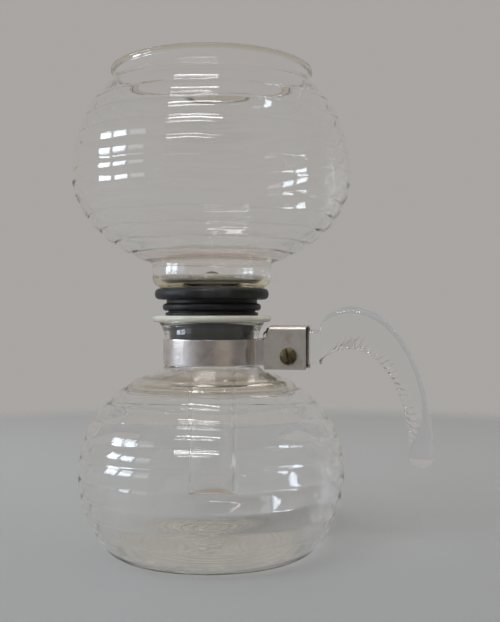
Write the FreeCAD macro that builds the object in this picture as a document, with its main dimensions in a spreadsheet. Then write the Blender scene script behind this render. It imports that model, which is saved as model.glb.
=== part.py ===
import FreeCAD, Part
import math
import operator
import os

import Sketcher
from FreeCAD import Placement, Rotation, Vector

# Siphon coffee maker: a ribbed glass bowl with a tube stands on a rubber gasket in the neck of a
# ribbed glass pot, and a steel band with a folded bracket clamps a glass handle to that neck.
# The origin is the middle of the pot's base, +Z points up and the handle points along +X.

# Driving dimensions in millimetres
SIZES = {
    # lower pot
    "pot_belly_radius": 73.0,
    "pot_belly_height": 45.6,
    "pot_drop": 69.6,
    "pot_wall": 2.4,
    "pot_base_radius": 53.0,
    "pot_base_thickness": 3.2,
    "pot_corner_height": 5.0,
    "pot_corner_bulge": 1.3,
    "pot_shoulder_radius": 38.0,
    "pot_shoulder_sag": 2.0,
    "pot_neck_length": 33.8,
    "pot_height": 129.8,
    "base_ring_height": 0.5,
    "neck_radius": 26.0,
    "neck_wall": 2.3,
    "neck_margin": 2.4,
    "mouth_radius": 29.2,
    "mouth_opening": 24.6,
    "mouth_depth": 12.8,
    "lip_radius": 33.1,
    "lip_thickness": 3.6,
    "lip_round": 1.5,
    # ribs blown into both vessels
    "rib_height": 0.8,
    # upper bowl
    "bowl_belly_radius": 76.5,
    "bowl_belly_height": 62.5,
    "bowl_rise": 75.0,
    "bowl_drop": 54.0,
    "bowl_wall": 2.3,
    "bowl_mouth_radius": 54.6,
    "bowl_collar": 5.0,
    "bowl_bead": 0.9,
    "bowl_neck_radius": 32.9,
    "bowl_sweep_radius": 1.8,
    "bowl_neck_corner": 6.0,
    "bowl_floor": 3.0,
    # siphon tube
    "tube_radius": 13.5,
    "tube_wall": 2.1,
    "tube_end_height": 31.2,
    # gasket
    "gasket_flange_radius": 31.6,
    "gasket_flange_thickness": 6.2,
    "gasket_flange_round": 2.4,
    "gasket_upper_groove_radius": 25.2,
    "gasket_upper_groove": 2.2,
    "gasket_ring_radius": 27.3,
    "gasket_ring_thickness": 4.0,
    "gasket_lower_groove_radius": 24.2,
    "gasket_lower_groove": 0.9,
    "gasket_seat_radius": 25.8,
    "gasket_seat_thickness": 1.8,
    "gasket_depth": 24.0,
    "gasket_taper_depth": 0.8,
    "gasket_gap": 0.3,
    "gasket_bore_gap": 0.08,
    # filter rod
    "filter_collar_radius": 13.2,
    "filter_collar_thickness": 2.0,
    "filter_knob_radius": 4.0,
    "filter_knob_height": 4.5,
    "filter_body_length": 20.0,
    "filter_gap": 2.4,
    "filter_rod_radius": 3.0,
    "filter_rod_length": 46.0,
    "filter_notch_radius": 2.4,
    # neck band and its liner
    "band_height": 14.2,
    "band_sheet": 0.6,
    "neck_liner_gap": 0.1,
    "neck_liner_thickness": 0.4,
    "neck_liner_inset": 0.6,
    "ear_inset": 2.0,
    # handle bracket
    "bracket_gap": 4.0,
    "bracket_length": 23.0,
    "bracket_sheet": 0.9,
    "bracket_bend": 2.5,
    "bracket_headroom": 1.8,
    "bracket_skirt": 2.1,
    "bracket_slant_run": 3.5,
    "bracket_slant_drop": 8.0,
    # soft pieces between steel and glass
    "root_liner_thickness": 1.0,
    "root_liner_inset": 1.0,
    "saddle_gap": 0.4,
    "sleeve_wall": 0.9,
    # handle
    "root_gap": 3.0,
    "root_length": 31.0,
    "root_height": 18.6,
    "root_width": 13.0,
    "root_corner": 2.5,
    "arch_reach": 50.5,
    "arch_height": 12.3,
    "arch_depth": 23.0,
    "arch_width": 14.5,
    "handle_reach": 93.4,
    "grip_drop": 66.4,
    "tip_depth": 12.6,
    "tip_width": 10.0,
    "tip_round": 6.0,
    # screw, washer and nut
    "screw_reach": 17.5,
    "screw_rise": 5.1,
    "shank_radius": 2.4,
    "screw_play": 0.15,
    "head_radius": 4.5,
    "head_height": 2.6,
    "head_dome": 1.2,
    "slot_width": 1.1,
    "slot_depth": 1.2,
    "washer_radius": 5.2,
    "washer_thickness": 1.0,
    "nut_across_flats": 8.0,
    "nut_thickness": 4.0,
    "thread_gap": 0.05,
    "screw_tail": 2.0,
}

# Counts and proportions
POT_UPPER_RIB_COUNT = 6
POT_LOWER_RIB_COUNT = 4
BOWL_UPPER_RIB_COUNT = 5
BOWL_LOWER_RIB_COUNT = 7
INSIDE_ARC_COUNT = 3
BASE_RING_COUNT = 6
FILTER_NOTCH_COUNT = 6
SLOT_TURN = 12
TUBE_END_SHARE = 0.4
GRIP_CORNER_SHARE = 0.42
RISE_TURNS = (180, 150, 120)
FALL_TURNS = (90, 65, 40, 18, 0)
TIP_STEPS = ((0.6, 0.84), (1.0, 0.42))
QUARTER_ARC_SAG = 1 - math.cos(math.radians(45))

OPERATIONS = {"+": operator.add, "-": operator.sub, "*": operator.mul, "/": operator.truediv}


class Size:
    """A length, ratio or angle: its value draws the geometry, its formula binds it to the sheet."""

    def __init__(self, value, formula):
        self.value = value
        self.formula = formula

    def __add__(self, other):
        return combine(self, "+", other)

    def __sub__(self, other):
        return combine(self, "-", other)

    def __mul__(self, other):
        return combine(self, "*", other)

    def __truediv__(self, other):
        return combine(self, "/", other)

    def __neg__(self):
        return Size(-self.value, f"(-{self.formula})")


def as_size(number):
    if isinstance(number, Size):
        return number
    return Size(number, f"({number})")


def combine(left, sign, right):
    left = as_size(left)
    right = as_size(right)
    value = OPERATIONS[sign](left.value, right.value)
    return Size(value, f"({left.formula} {sign} {right.formula})")


def degrees(number):
    return Size(number, f"({number} deg)")


def cosine(angle):
    return Size(math.cos(math.radians(angle.value)), f"cos({angle.formula})")


def sine(angle):
    return Size(math.sin(math.radians(angle.value)), f"sin({angle.formula})")


def arc_cosine(ratio):
    return Size(math.degrees(math.acos(ratio.value)), f"acos({ratio.formula})")


def arc_sine(ratio):
    return Size(math.degrees(math.asin(ratio.value)), f"asin({ratio.formula})")


def direction_angle(rise, run):
    angle = math.degrees(math.atan2(rise.value, run.value))
    return Size(angle, f"atan2({rise.formula}; {run.formula})")


def diagonal(run, rise):
    return Size(math.hypot(run.value, rise.value), f"hypot({run.formula}; {rise.formula})")


def leg(long_side, short_side):
    """The other short side of a right-angled triangle."""
    return long_side * cosine(arc_sine(short_side / long_side))


def make_sheet(document):
    """Writes the driving dimensions to the sheet and returns them by name."""
    sheet = document.addObject("Spreadsheet::Sheet", "sizes")
    bound = {}
    for row, (name, value) in enumerate(SIZES.items(), start=1):
        sheet.set(f"A{row}", name.replace("_", " "))
        sheet.set(f"B{row}", str(value))
        sheet.setAlias(f"B{row}", name)
        bound[name] = Size(value, f"sizes.{name}")
    return bound


def make_body(document, name):
    body = document.addObject("PartDesign::Body", name)
    body.Label = name
    return body


def origin_plane(body, role):
    for feature in body.Origin.OriginFeatures:
        if feature.Role == role:
            return feature
    raise ValueError(f"{body.Label} has no {role}")


def new_sketch(body, name, plane):
    sketch = body.newObject("Sketcher::SketchObject", name)
    sketch.AttachmentSupport = [(origin_plane(body, plane), "")]
    sketch.MapMode = "FlatFace"
    return sketch


class Ties:
    """The constraints of one sketch, collected first and then added together."""

    def __init__(self, sketch):
        self.sketch = sketch
        self.constraints = []
        self.formulas = []

    def add(self, formula, *constraint):
        self.constraints.append(Sketcher.Constraint(*constraint))
        self.formulas.append(formula)

    def tie_point(self, geometry, end, across, along):
        """Ties one sketch point to two sizes, measured from the sketch's origin."""
        for kind, size, axis in (("DistanceX", across, -2), ("DistanceY", along, -1)):
            if size.value == 0:
                self.add(None, "PointOnObject", geometry, end, axis)
            elif size.value > 0:
                self.add(size.formula, kind, -1, 1, geometry, end, size.value)
            else:
                self.add((-size).formula, kind, geometry, end, -1, 1, -size.value)

    def tie_radius(self, geometry, radius):
        self.add(radius.formula, "Radius", geometry, radius.value)

    def tie_ends(self, first, first_end, second, second_end):
        self.add(None, "Coincident", first, first_end, second, second_end)

    def apply(self):
        first = self.sketch.ConstraintCount
        self.sketch.addConstraint(self.constraints)
        for index, formula in enumerate(self.formulas, start=first):
            if formula:
                self.sketch.setExpression(f"Constraints[{index}]", formula)


def add_circle(sketch, across, along, radius):
    centre = Vector(across.value, along.value, 0)
    circle = sketch.addGeometry(Part.Circle(centre, Vector(0, 0, 1), radius.value))
    ties = Ties(sketch)
    ties.tie_point(circle, 3, across, along)
    ties.tie_radius(circle, radius)
    ties.apply()


class Outline:
    """A closed outline drawn run by run. A positive bulge swells an arc to the right of its run."""

    def __init__(self, across, along):
        self.corners = [(as_size(across), as_size(along))]
        self.bulges = []

    def line_to(self, across, along):
        self.corners.append((as_size(across), as_size(along)))
        self.bulges.append(None)

    def arc_to(self, across, along, bulge):
        self.corners.append((as_size(across), as_size(along)))
        self.bulges.append(as_size(bulge))

    def close_with_arc(self, bulge):
        self.bulges.append(as_size(bulge))

    def draw(self, sketch):
        """Closes the outline, with a line unless told otherwise, and ties every corner and radius."""
        if len(self.bulges) < len(self.corners):
            self.bulges.append(None)
        ties = Ties(sketch)
        runs = []
        for index, bulge in enumerate(self.bulges):
            start = self.corners[index]
            end = self.corners[(index + 1) % len(self.corners)]
            if bulge is None:
                runs.append(draw_line(sketch, start, end))
            else:
                runs.append(draw_arc(sketch, ties, start, end, bulge))
        for index, (geometry, first, last) in enumerate(runs):
            before, before_first, before_last = runs[index - 1]
            ties.tie_ends(before, before_last, geometry, first)
            ties.tie_point(geometry, first, *self.corners[index])
        ties.apply()


def sketch_point(corner):
    return Vector(corner[0].value, corner[1].value, 0)


def draw_line(sketch, start, end):
    """Returns the line's number and which of its ends come first and last."""
    return sketch.addGeometry(Part.LineSegment(sketch_point(start), sketch_point(end))), 1, 2


def draw_arc(sketch, ties, start, end, bulge):
    """Returns the arc's number and which of its ends come first and last."""
    turns_left = bulge.value > 0
    depth = bulge if turns_left else -bulge
    chord = diagonal(end[0] - start[0], end[1] - start[1])
    radius = chord * chord / (depth * 8) + depth / 2
    first = sketch_point(start)
    last = sketch_point(end)
    run = (last - first).normalize()
    swell = Vector(run.y, -run.x, 0) if turns_left else Vector(-run.y, run.x, 0)
    centre = (first + last) * 0.5 + swell * (depth.value - radius.value)
    if not turns_left:
        first, last = last, first
    first_angle = math.atan2(first.y - centre.y, first.x - centre.x)
    last_angle = math.atan2(last.y - centre.y, last.x - centre.x)
    circle = Part.Circle(centre, Vector(0, 0, 1), radius.value)
    geometry = sketch.addGeometry(Part.ArcOfCircle(circle, first_angle, last_angle))
    ties.tie_radius(geometry, radius)
    return (geometry, 1, 2) if turns_left else (geometry, 2, 1)


def revolve(body, outline, name):
    """Turns an outline in the XZ plane around the Z axis."""
    sketch = new_sketch(body, name + "_outline", "XZ_Plane")
    outline.draw(sketch)
    feature = body.newObject("PartDesign::Revolution", name)
    feature.Profile = sketch
    feature.ReferenceAxis = (sketch, ["V_Axis"])
    feature.Angle = 360
    feature.Midplane = True
    return feature


def pad(body, sketch, name, length):
    feature = body.newObject("PartDesign::Pad", name)
    feature.Profile = sketch
    feature.Length = length.value
    feature.setExpression("Length", length.formula)
    return feature


def cut_through(body, sketch, name):
    """Cuts a sketch both ways through the whole piece."""
    feature = body.newObject("PartDesign::Pocket", name)
    feature.Profile = sketch
    feature.Type = "ThroughAll"
    feature.Midplane = True
    return feature


def shift_sketch(sketch, distance):
    """Moves a sketch along its normal."""
    sketch.AttachmentOffset = Placement(Vector(0, 0, distance.value), Rotation())
    sketch.setExpression("AttachmentOffset.Base.z", distance.formula)


def place_on_screw_axis(body, size, turn):
    """Stands a piece made along Z on the screw's axis, its top towards the bracket's front."""
    spin = Rotation(Vector(1, 0, 0), 90) * Rotation(Vector(0, 0, 1), turn)
    reach = screw_distance(size)
    height = screw_height(size)
    body.Placement = Placement(Vector(reach.value, 0, height.value), spin)
    body.setExpression("Placement.Base.x", reach.formula)
    body.setExpression("Placement.Base.z", height.formula)


# Heights and radii that several pieces share

def band_top(size):
    return size["pot_height"] - size["mouth_depth"]


def band_bottom(size):
    return band_top(size) - size["band_height"]


def liner_inner_radius(size):
    return size["neck_radius"] + size["neck_liner_gap"]


def band_inner_radius(size):
    return liner_inner_radius(size) + size["neck_liner_thickness"]


def band_outer_radius(size):
    return band_inner_radius(size) + size["band_sheet"]


def neck_opening(size):
    return size["neck_radius"] - size["neck_wall"]


def gasket_top(size):
    flange = size["gasket_flange_thickness"] + size["gasket_upper_groove"]
    ring = size["gasket_ring_thickness"] + size["gasket_lower_groove"]
    return size["pot_height"] + flange + ring + size["gasket_seat_thickness"]


def tube_opening(size):
    return size["tube_radius"] - size["tube_wall"]


def bracket_start(size):
    return band_outer_radius(size) + size["bracket_gap"]


def bracket_top(size):
    return size["pot_height"] - size["lip_thickness"] - size["bracket_headroom"]


def bracket_bottom(size):
    return band_bottom(size) - size["bracket_skirt"]


def root_top(size):
    lining = size["saddle_gap"] + size["root_liner_thickness"]
    return bracket_top(size) - size["bracket_sheet"] - lining


def ear_inner(size):
    return size["root_width"] / 2 + size["root_liner_thickness"]


def cheek_outer(size):
    return ear_inner(size) + size["band_sheet"] + size["bracket_sheet"]


def screw_distance(size):
    return band_outer_radius(size) + size["screw_reach"]


def screw_height(size):
    return band_bottom(size) + size["screw_rise"]


def belly_point(radius, middle, half_height, angle):
    """A point of a belly's quarter ellipse, measured by its angle above the widest level."""
    return radius * cosine(angle), middle + half_height * sine(angle)


def add_ribs(outline, points, bulge):
    for across, along in points:
        outline.arc_to(across, along, bulge)


def quarter_points(radius, middle, half_height, end_angle, count):
    """Rib valleys from the widest level to the end angle, the widest level left out."""
    points = []
    for step in range(1, count + 1):
        points.append(belly_point(radius, middle, half_height, end_angle * (step / count)))
    return points


def add_smooth_quarter(outline, radius, middle, half_height, start_angle, end_angle):
    """Plain arcs along a belly's quarter ellipse, for the inside of a wall."""
    step = (end_angle - start_angle) / INSIDE_ARC_COUNT
    for number in range(1, INSIDE_ARC_COUNT + 1):
        angle = start_angle + step * number
        arc_middle = angle - step / 2
        width = diagonal(half_height * cosine(arc_middle), radius * sine(arc_middle))
        sag = (as_size(1) - cosine(step / 2)) * radius * half_height / width
        outline.arc_to(*belly_point(radius, middle, half_height, angle), -sag)


def make_lower_pot(document, size):
    body = make_body(document, "lower_pot")
    middle = size["pot_belly_height"]
    outer = size["pot_belly_radius"]
    inner = outer - size["pot_wall"]
    drop = size["pot_drop"]
    floor = size["pot_base_thickness"]
    shoulder_angle = arc_cosine(size["pot_shoulder_radius"] / outer)
    shoulder_height = size["pot_height"] - size["pot_neck_length"]
    rise = (shoulder_height - middle) / sine(shoulder_angle)
    base_angle = arc_sine((middle - size["pot_corner_height"]) / drop)
    above = quarter_points(outer, middle, rise, shoulder_angle, POT_UPPER_RIB_COUNT)
    below = quarter_points(outer, middle, -drop, base_angle, POT_LOWER_RIB_COUNT)
    rise_inside = rise - size["pot_wall"]
    drop_inside = drop - floor / 2
    neck_bottom = band_bottom(size) - size["neck_margin"]
    lip_top = size["pot_height"]
    lip_bottom = lip_top - size["lip_thickness"]
    lip_flat = size["lip_radius"] - size["lip_round"]

    outline = Outline(0, 0)
    outline.line_to(size["pot_base_radius"], 0)
    outline.arc_to(*below[-1], size["pot_corner_bulge"])
    add_ribs(outline, below[-2::-1] + [(outer, middle)] + above, size["rib_height"])
    outline.arc_to(size["neck_radius"], neck_bottom, -size["pot_shoulder_sag"])
    outline.line_to(size["neck_radius"], band_top(size))
    outline.line_to(size["mouth_radius"], lip_bottom)
    outline.line_to(lip_flat, lip_bottom)
    outline.arc_to(lip_flat, lip_top, size["lip_round"])
    outline.line_to(size["mouth_opening"], lip_top)
    outline.line_to(neck_opening(size), band_top(size))
    outline.line_to(neck_opening(size), neck_bottom)
    shoulder_inside = belly_point(inner, middle, rise_inside, shoulder_angle)
    outline.arc_to(*shoulder_inside, size["pot_shoulder_sag"])
    add_smooth_quarter(outline, inner, middle, rise_inside, shoulder_angle, degrees(0))
    add_smooth_quarter(outline, inner, middle, drop_inside, degrees(0), -base_angle)
    ring_step = (size["pot_base_radius"] - size["pot_wall"]) / BASE_RING_COUNT
    outline.arc_to(ring_step * BASE_RING_COUNT, floor, -size["pot_corner_bulge"])
    for ring in range(BASE_RING_COUNT - 1, 0, -1):
        outline.arc_to(ring_step * ring, floor, size["base_ring_height"])
    outline.line_to(0, floor)
    revolve(body, outline, "pot_glass")
    return body


def make_upper_bowl(document, size):
    body = make_body(document, "upper_bowl")
    seat = gasket_top(size)
    middle = seat + size["bowl_belly_height"]
    wall = size["bowl_wall"]
    outer = size["bowl_belly_radius"]
    inner = outer - wall
    rise = size["bowl_rise"]
    drop = size["bowl_drop"]
    neck = size["bowl_neck_radius"]
    mouth = size["bowl_mouth_radius"]
    mouth_angle = arc_cosine(mouth / outer)
    neck_angle = arc_cosine((neck + size["bowl_sweep_radius"]) / outer)
    above = quarter_points(outer, middle, rise, mouth_angle, BOWL_UPPER_RIB_COUNT)
    below = quarter_points(outer, middle, -drop, neck_angle, BOWL_LOWER_RIB_COUNT)
    inside_mouth_angle = arc_cosine((mouth - wall) / inner)
    inside_neck_angle = arc_cosine((neck - wall + size["bowl_sweep_radius"]) / inner)
    neck_inside = belly_point(inner, middle, wall - drop, inside_neck_angle)
    corner = size["bowl_neck_corner"]
    corner_inside = corner - wall
    floor = seat + size["bowl_floor"]
    rim = above[-1][1] + size["bowl_collar"]

    outline = Outline(tube_opening(size), seat)
    outline.line_to(neck - corner, seat)
    outline.arc_to(neck, seat + corner, corner * QUARTER_ARC_SAG)
    outline.line_to(neck, below[-1][1] - size["bowl_sweep_radius"])
    outline.arc_to(*below[-1], -size["bowl_sweep_radius"] * QUARTER_ARC_SAG)
    add_ribs(outline, below[-2::-1] + [(outer, middle)] + above, size["rib_height"])
    outline.line_to(mouth, rim - wall)
    outline.arc_to(mouth, rim, size["bowl_bead"])
    outline.arc_to(mouth - wall, rim, size["bowl_bead"])
    outline.line_to(*belly_point(inner, middle, rise - wall, inside_mouth_angle))
    add_smooth_quarter(outline, inner, middle, rise - wall, inside_mouth_angle, degrees(0))
    add_smooth_quarter(outline, inner, middle, drop - wall, degrees(0), -inside_neck_angle)
    sweep_inside = size["bowl_sweep_radius"] * QUARTER_ARC_SAG
    outline.arc_to(neck - wall, neck_inside[1] - size["bowl_sweep_radius"], sweep_inside)
    outline.line_to(neck - wall, floor + corner_inside)
    outline.arc_to(neck - corner, floor, -corner_inside * QUARTER_ARC_SAG)
    outline.line_to(tube_opening(size), floor)
    revolve(body, outline, "bowl_glass")
    return body


def make_siphon_tube(document, size):
    """The tube meets the underside of the bowl's floor, and its lower end is melted round."""
    body = make_body(document, "siphon_tube")
    opening = tube_opening(size)
    end_round = size["tube_wall"] * TUBE_END_SHARE
    outline = Outline(opening, size["tube_end_height"] + end_round)
    outline.arc_to(size["tube_radius"], size["tube_end_height"] + end_round, end_round)
    outline.line_to(size["tube_radius"], gasket_top(size))
    outline.line_to(opening, gasket_top(size))
    revolve(body, outline, "tube_glass")
    return body


def make_gasket(document, size):
    """Three rings stand above the lip; the lowest sits on it, and a tapered plug fills the neck."""
    body = make_body(document, "gasket")
    bore = size["tube_radius"] + size["gasket_bore_gap"]
    lip_top = size["pot_height"]
    gap = size["gasket_gap"]
    bottom = lip_top - size["gasket_depth"]
    plug_top = size["mouth_opening"] - gap
    plug_waist = neck_opening(size) - gap
    plug_end = plug_waist - size["gasket_taper_depth"]
    seat_top = lip_top + size["gasket_seat_thickness"]
    ring_bottom = seat_top + size["gasket_lower_groove"]
    ring_top = ring_bottom + size["gasket_ring_thickness"]
    flange_bottom = ring_top + size["gasket_upper_groove"]
    flange_top = flange_bottom + size["gasket_flange_thickness"]
    flange_round = size["gasket_flange_round"]
    round_sag = flange_round * QUARTER_ARC_SAG
    flange = size["gasket_flange_radius"]
    upper_groove = size["gasket_upper_groove_radius"]
    lower_groove = size["gasket_lower_groove_radius"]

    outline = Outline(bore, bottom)
    outline.line_to(plug_end, bottom)
    outline.line_to(plug_waist, band_top(size))
    outline.line_to(plug_top, lip_top)
    outline.line_to(size["gasket_seat_radius"], lip_top)
    outline.line_to(size["gasket_seat_radius"], seat_top)
    outline.line_to(lower_groove, seat_top)
    outline.line_to(lower_groove, ring_bottom)
    ring_flat = size["gasket_ring_radius"] - size["gasket_ring_thickness"] / 4
    outline.line_to(ring_flat, ring_bottom)
    outline.arc_to(ring_flat, ring_top, size["gasket_ring_thickness"] / 4)
    outline.line_to(upper_groove, ring_top)
    outline.line_to(upper_groove, flange_bottom)
    outline.line_to(flange - flange_round, flange_bottom)
    outline.arc_to(flange, flange_bottom + flange_round, round_sag)
    outline.line_to(flange, flange_top - flange_round)
    outline.arc_to(flange - flange_round, flange_top, round_sag)
    outline.line_to(bore, flange_top)
    revolve(body, outline, "gasket_rubber")
    return body


def make_filter_rod(document, size):
    """A glass stopper: its collar lies on the bowl's floor and its rod hangs in the tube."""
    body = make_body(document, "filter_rod")
    floor = gasket_top(size) + size["bowl_floor"]
    collar = size["filter_collar_radius"]
    collar_top = floor + size["filter_collar_thickness"]
    knob = size["filter_knob_radius"]
    knob_top = collar_top + size["filter_knob_height"]
    stopper = tube_opening(size) - size["filter_gap"]
    stopper_end = floor - size["filter_body_length"]
    rod = size["filter_rod_radius"]
    rod_end = floor - size["filter_rod_length"]

    outline = Outline(0, rod_end)
    outline.arc_to(rod, rod_end + rod, rod * QUARTER_ARC_SAG)
    outline.line_to(rod, stopper_end - stopper + rod)
    outline.line_to(stopper, stopper_end)
    outline.line_to(stopper, floor)
    outline.line_to(collar, floor)
    outline.line_to(collar, collar_top)
    outline.line_to(knob, collar_top)
    outline.line_to(knob, knob_top - knob)
    outline.arc_to(0, knob_top, knob * QUARTER_ARC_SAG)
    revolve(body, outline, "filter_glass")

    sketch = new_sketch(body, "notch_outline", "XY_Plane")
    add_circle(sketch, collar, as_size(0), size["filter_notch_radius"])
    notch = cut_through(body, sketch, "notch")
    pattern = body.newObject("PartDesign::PolarPattern", "notches")
    pattern.Originals = [notch]
    pattern.Axis = (sketch, ["N_Axis"])
    pattern.Angle = 360
    pattern.Occurrences = FILTER_NOTCH_COUNT
    body.Tip = pattern
    return body


def make_neck_band(document, size):
    """A strap round the neck whose ends turn out as two ears beside the handle's root."""
    body = make_body(document, "neck_band")
    inner = band_inner_radius(size)
    outer = band_outer_radius(size)
    ear_inside = ear_inner(size)
    ear_outside = ear_inside + size["band_sheet"]
    ear_end = bracket_start(size) + size["bracket_length"] - size["ear_inset"]
    inner_joint = leg(inner, ear_inside)
    outer_joint = leg(outer, ear_outside)

    sketch = new_sketch(body, "strap_outline", "XY_Plane")
    shift_sketch(sketch, band_bottom(size))
    outline = Outline(ear_end, ear_outside)
    outline.line_to(outer_joint, ear_outside)
    outline.arc_to(outer_joint, -ear_outside, outer + outer_joint)
    outline.line_to(ear_end, -ear_outside)
    outline.line_to(ear_end, -ear_inside)
    outline.line_to(inner_joint, -ear_inside)
    outline.arc_to(inner_joint, ear_inside, -(inner + inner_joint))
    outline.line_to(ear_end, ear_inside)
    outline.draw(sketch)
    pad(body, sketch, "strap", size["band_height"])

    hole = new_sketch(body, "ear_hole", "XZ_Plane")
    add_circle(hole, screw_distance(size), screw_height(size), size["shank_radius"] + size["screw_play"])
    cut_through(body, hole, "ear_holes")
    return body


def make_neck_liner(document, size):
    """A soft strip between band and neck, open where the ears leave the neck."""
    body = make_body(document, "neck_liner")
    inner = liner_inner_radius(size)
    outer = band_inner_radius(size)
    ear_inside = ear_inner(size)
    inner_joint = leg(inner, ear_inside)
    outer_joint = leg(outer, ear_inside)

    sketch = new_sketch(body, "strip_outline", "XY_Plane")
    shift_sketch(sketch, band_bottom(size) + size["neck_liner_inset"])
    outline = Outline(outer_joint, ear_inside)
    outline.arc_to(outer_joint, -ear_inside, outer + outer_joint)
    outline.line_to(inner_joint, -ear_inside)
    outline.arc_to(inner_joint, ear_inside, -(inner + inner_joint))
    outline.draw(sketch)
    pad(body, sketch, "strip", size["band_height"] - size["neck_liner_inset"] * 2)
    return body


def saddle_outline(half_width, top, bottom, thickness, bend):
    """An upside-down U with round bends, seen along the handle's root."""
    inside = half_width - thickness
    ceiling = top - thickness
    bend_inside = bend - thickness
    outer_sag = bend * QUARTER_ARC_SAG
    inner_sag = bend_inside * QUARTER_ARC_SAG
    outline = Outline(half_width, bottom)
    outline.line_to(half_width, top - bend)
    outline.arc_to(half_width - bend, top, outer_sag)
    outline.line_to(bend - half_width, top)
    outline.arc_to(-half_width, top - bend, outer_sag)
    outline.line_to(-half_width, bottom)
    outline.line_to(-inside, bottom)
    outline.line_to(-inside, ceiling - bend_inside)
    outline.arc_to(bend_inside - inside, ceiling, -inner_sag)
    outline.line_to(inside - bend_inside, ceiling)
    outline.arc_to(inside, ceiling - bend_inside, -inner_sag)
    outline.line_to(inside, bottom)
    return outline


def make_handle_bracket(document, size):
    body = make_body(document, "handle_bracket")
    start = bracket_start(size)
    top = bracket_top(size)
    sketch = new_sketch(body, "saddle_outline", "YZ_Plane")
    shift_sketch(sketch, start)
    saddle_outline(cheek_outer(size), top, bracket_bottom(size), size["bracket_sheet"],
                   size["bracket_bend"]).draw(sketch)
    pad(body, sketch, "saddle", size["bracket_length"])

    slant = new_sketch(body, "slant_outline", "XZ_Plane")
    outline = Outline(start, top - size["bracket_slant_drop"])
    outline.line_to(start + size["bracket_slant_run"], top)
    outline.line_to(start, top)
    outline.draw(slant)
    cut_through(body, slant, "slanted_corner")

    hole = new_sketch(body, "cheek_hole", "XZ_Plane")
    add_circle(hole, screw_distance(size), screw_height(size), size["shank_radius"] + size["screw_play"])
    cut_through(body, hole, "cheek_holes")
    return body


def sleeve_radius(size):
    return size["shank_radius"] + size["screw_play"] + size["sleeve_wall"]


def make_root_liner(document, size):
    """A soft folded sheet over the handle's root, under the ears and the bracket."""
    body = make_body(document, "root_liner")
    thickness = size["root_liner_thickness"]
    inset = size["root_liner_inset"]
    sketch = new_sketch(body, "fold_outline", "YZ_Plane")
    shift_sketch(sketch, bracket_start(size) + inset)
    saddle_outline(ear_inner(size), root_top(size) + thickness, bracket_bottom(size) + inset, thickness,
                   size["root_corner"] + thickness).draw(sketch)
    pad(body, sketch, "fold", size["bracket_length"] - inset * 2)

    hole = new_sketch(body, "liner_hole", "XZ_Plane")
    add_circle(hole, screw_distance(size), screw_height(size), sleeve_radius(size))
    cut_through(body, hole, "liner_holes")
    return body


def rounded_section(half_height, half_width, corner):
    """The handle's section: a rectangle with four round corners."""
    sag = corner * QUARTER_ARC_SAG
    outline = Outline(half_height, corner - half_width)
    outline.line_to(half_height, half_width - corner)
    outline.arc_to(half_height - corner, half_width, sag)
    outline.line_to(corner - half_height, half_width)
    outline.arc_to(-half_height, half_width - corner, sag)
    outline.line_to(-half_height, corner - half_width)
    outline.arc_to(corner - half_height, -half_width, sag)
    outline.line_to(half_height - corner, -half_width)
    outline.close_with_arc(sag)
    return outline


def grip_stations(size):
    """The grip's sections in order: outer point, inner point and width, from root to tip."""
    root_end = band_outer_radius(size) + size["root_gap"] + size["root_length"]
    arch = band_outer_radius(size) + size["arch_reach"]
    reach = band_outer_radius(size) + size["handle_reach"]
    top = root_top(size)
    bottom = top - size["root_height"]
    tip_level = top - size["grip_drop"]
    arch_top = top + size["arch_height"]
    stations = []
    for turn in RISE_TURNS:
        angle = degrees(turn)
        run = (arch - root_end) * cosine(angle)
        outer = (arch + run, top + size["arch_height"] * sine(angle))
        inner_rise = arch_top - size["arch_depth"] - bottom
        inner = (arch + run, bottom + inner_rise * sine(angle))
        share = (180 - turn) / 90
        width = size["root_width"] + (size["arch_width"] - size["root_width"]) * share
        stations.append((outer, inner, width))
    for turn in FALL_TURNS:
        angle = degrees(turn)
        outer_rise = (arch_top - tip_level) * sine(angle)
        outer = (arch + (reach - arch) * cosine(angle), tip_level + outer_rise)
        inner_run = (reach - size["tip_depth"] - arch) * cosine(angle)
        inner_rise = (arch_top - size["arch_depth"] - tip_level) * sine(angle)
        inner = (arch + inner_run, tip_level + inner_rise)
        share = (90 - turn) / 90
        width = size["arch_width"] + (size["tip_width"] - size["arch_width"]) * share
        stations.append((outer, inner, width))
    for drop_share, scale in TIP_STEPS:
        level = tip_level - size["tip_round"] * drop_share
        shrink = size["tip_depth"] * ((1 - scale) / 2)
        outer = (reach - shrink, level)
        inner = (reach - size["tip_depth"] + shrink, level)
        stations.append((outer, inner, size["tip_width"] * scale))
    return stations


def section_sketch(body, name, outer, inner, width, corner):
    """A section square to the grip's line, its long side from the inner to the outer point."""
    run = outer[0] - inner[0]
    rise = outer[1] - inner[1]
    middle_across = (outer[0] + inner[0]) / 2
    middle_along = (outer[1] + inner[1]) / 2
    turn = degrees(180) - direction_angle(rise, run)
    sketch = new_sketch(body, name, "XY_Plane")
    spin = Rotation(Vector(0, 1, 0), turn.value)
    sketch.AttachmentOffset = Placement(Vector(middle_across.value, 0, middle_along.value), spin)
    sketch.setExpression("AttachmentOffset.Base.x", middle_across.formula)
    sketch.setExpression("AttachmentOffset.Base.z", middle_along.formula)
    sketch.setExpression("AttachmentOffset.Rotation.Angle", turn.formula)
    rounded_section(diagonal(run, rise) / 2, width / 2, corner).draw(sketch)
    return sketch


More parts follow.
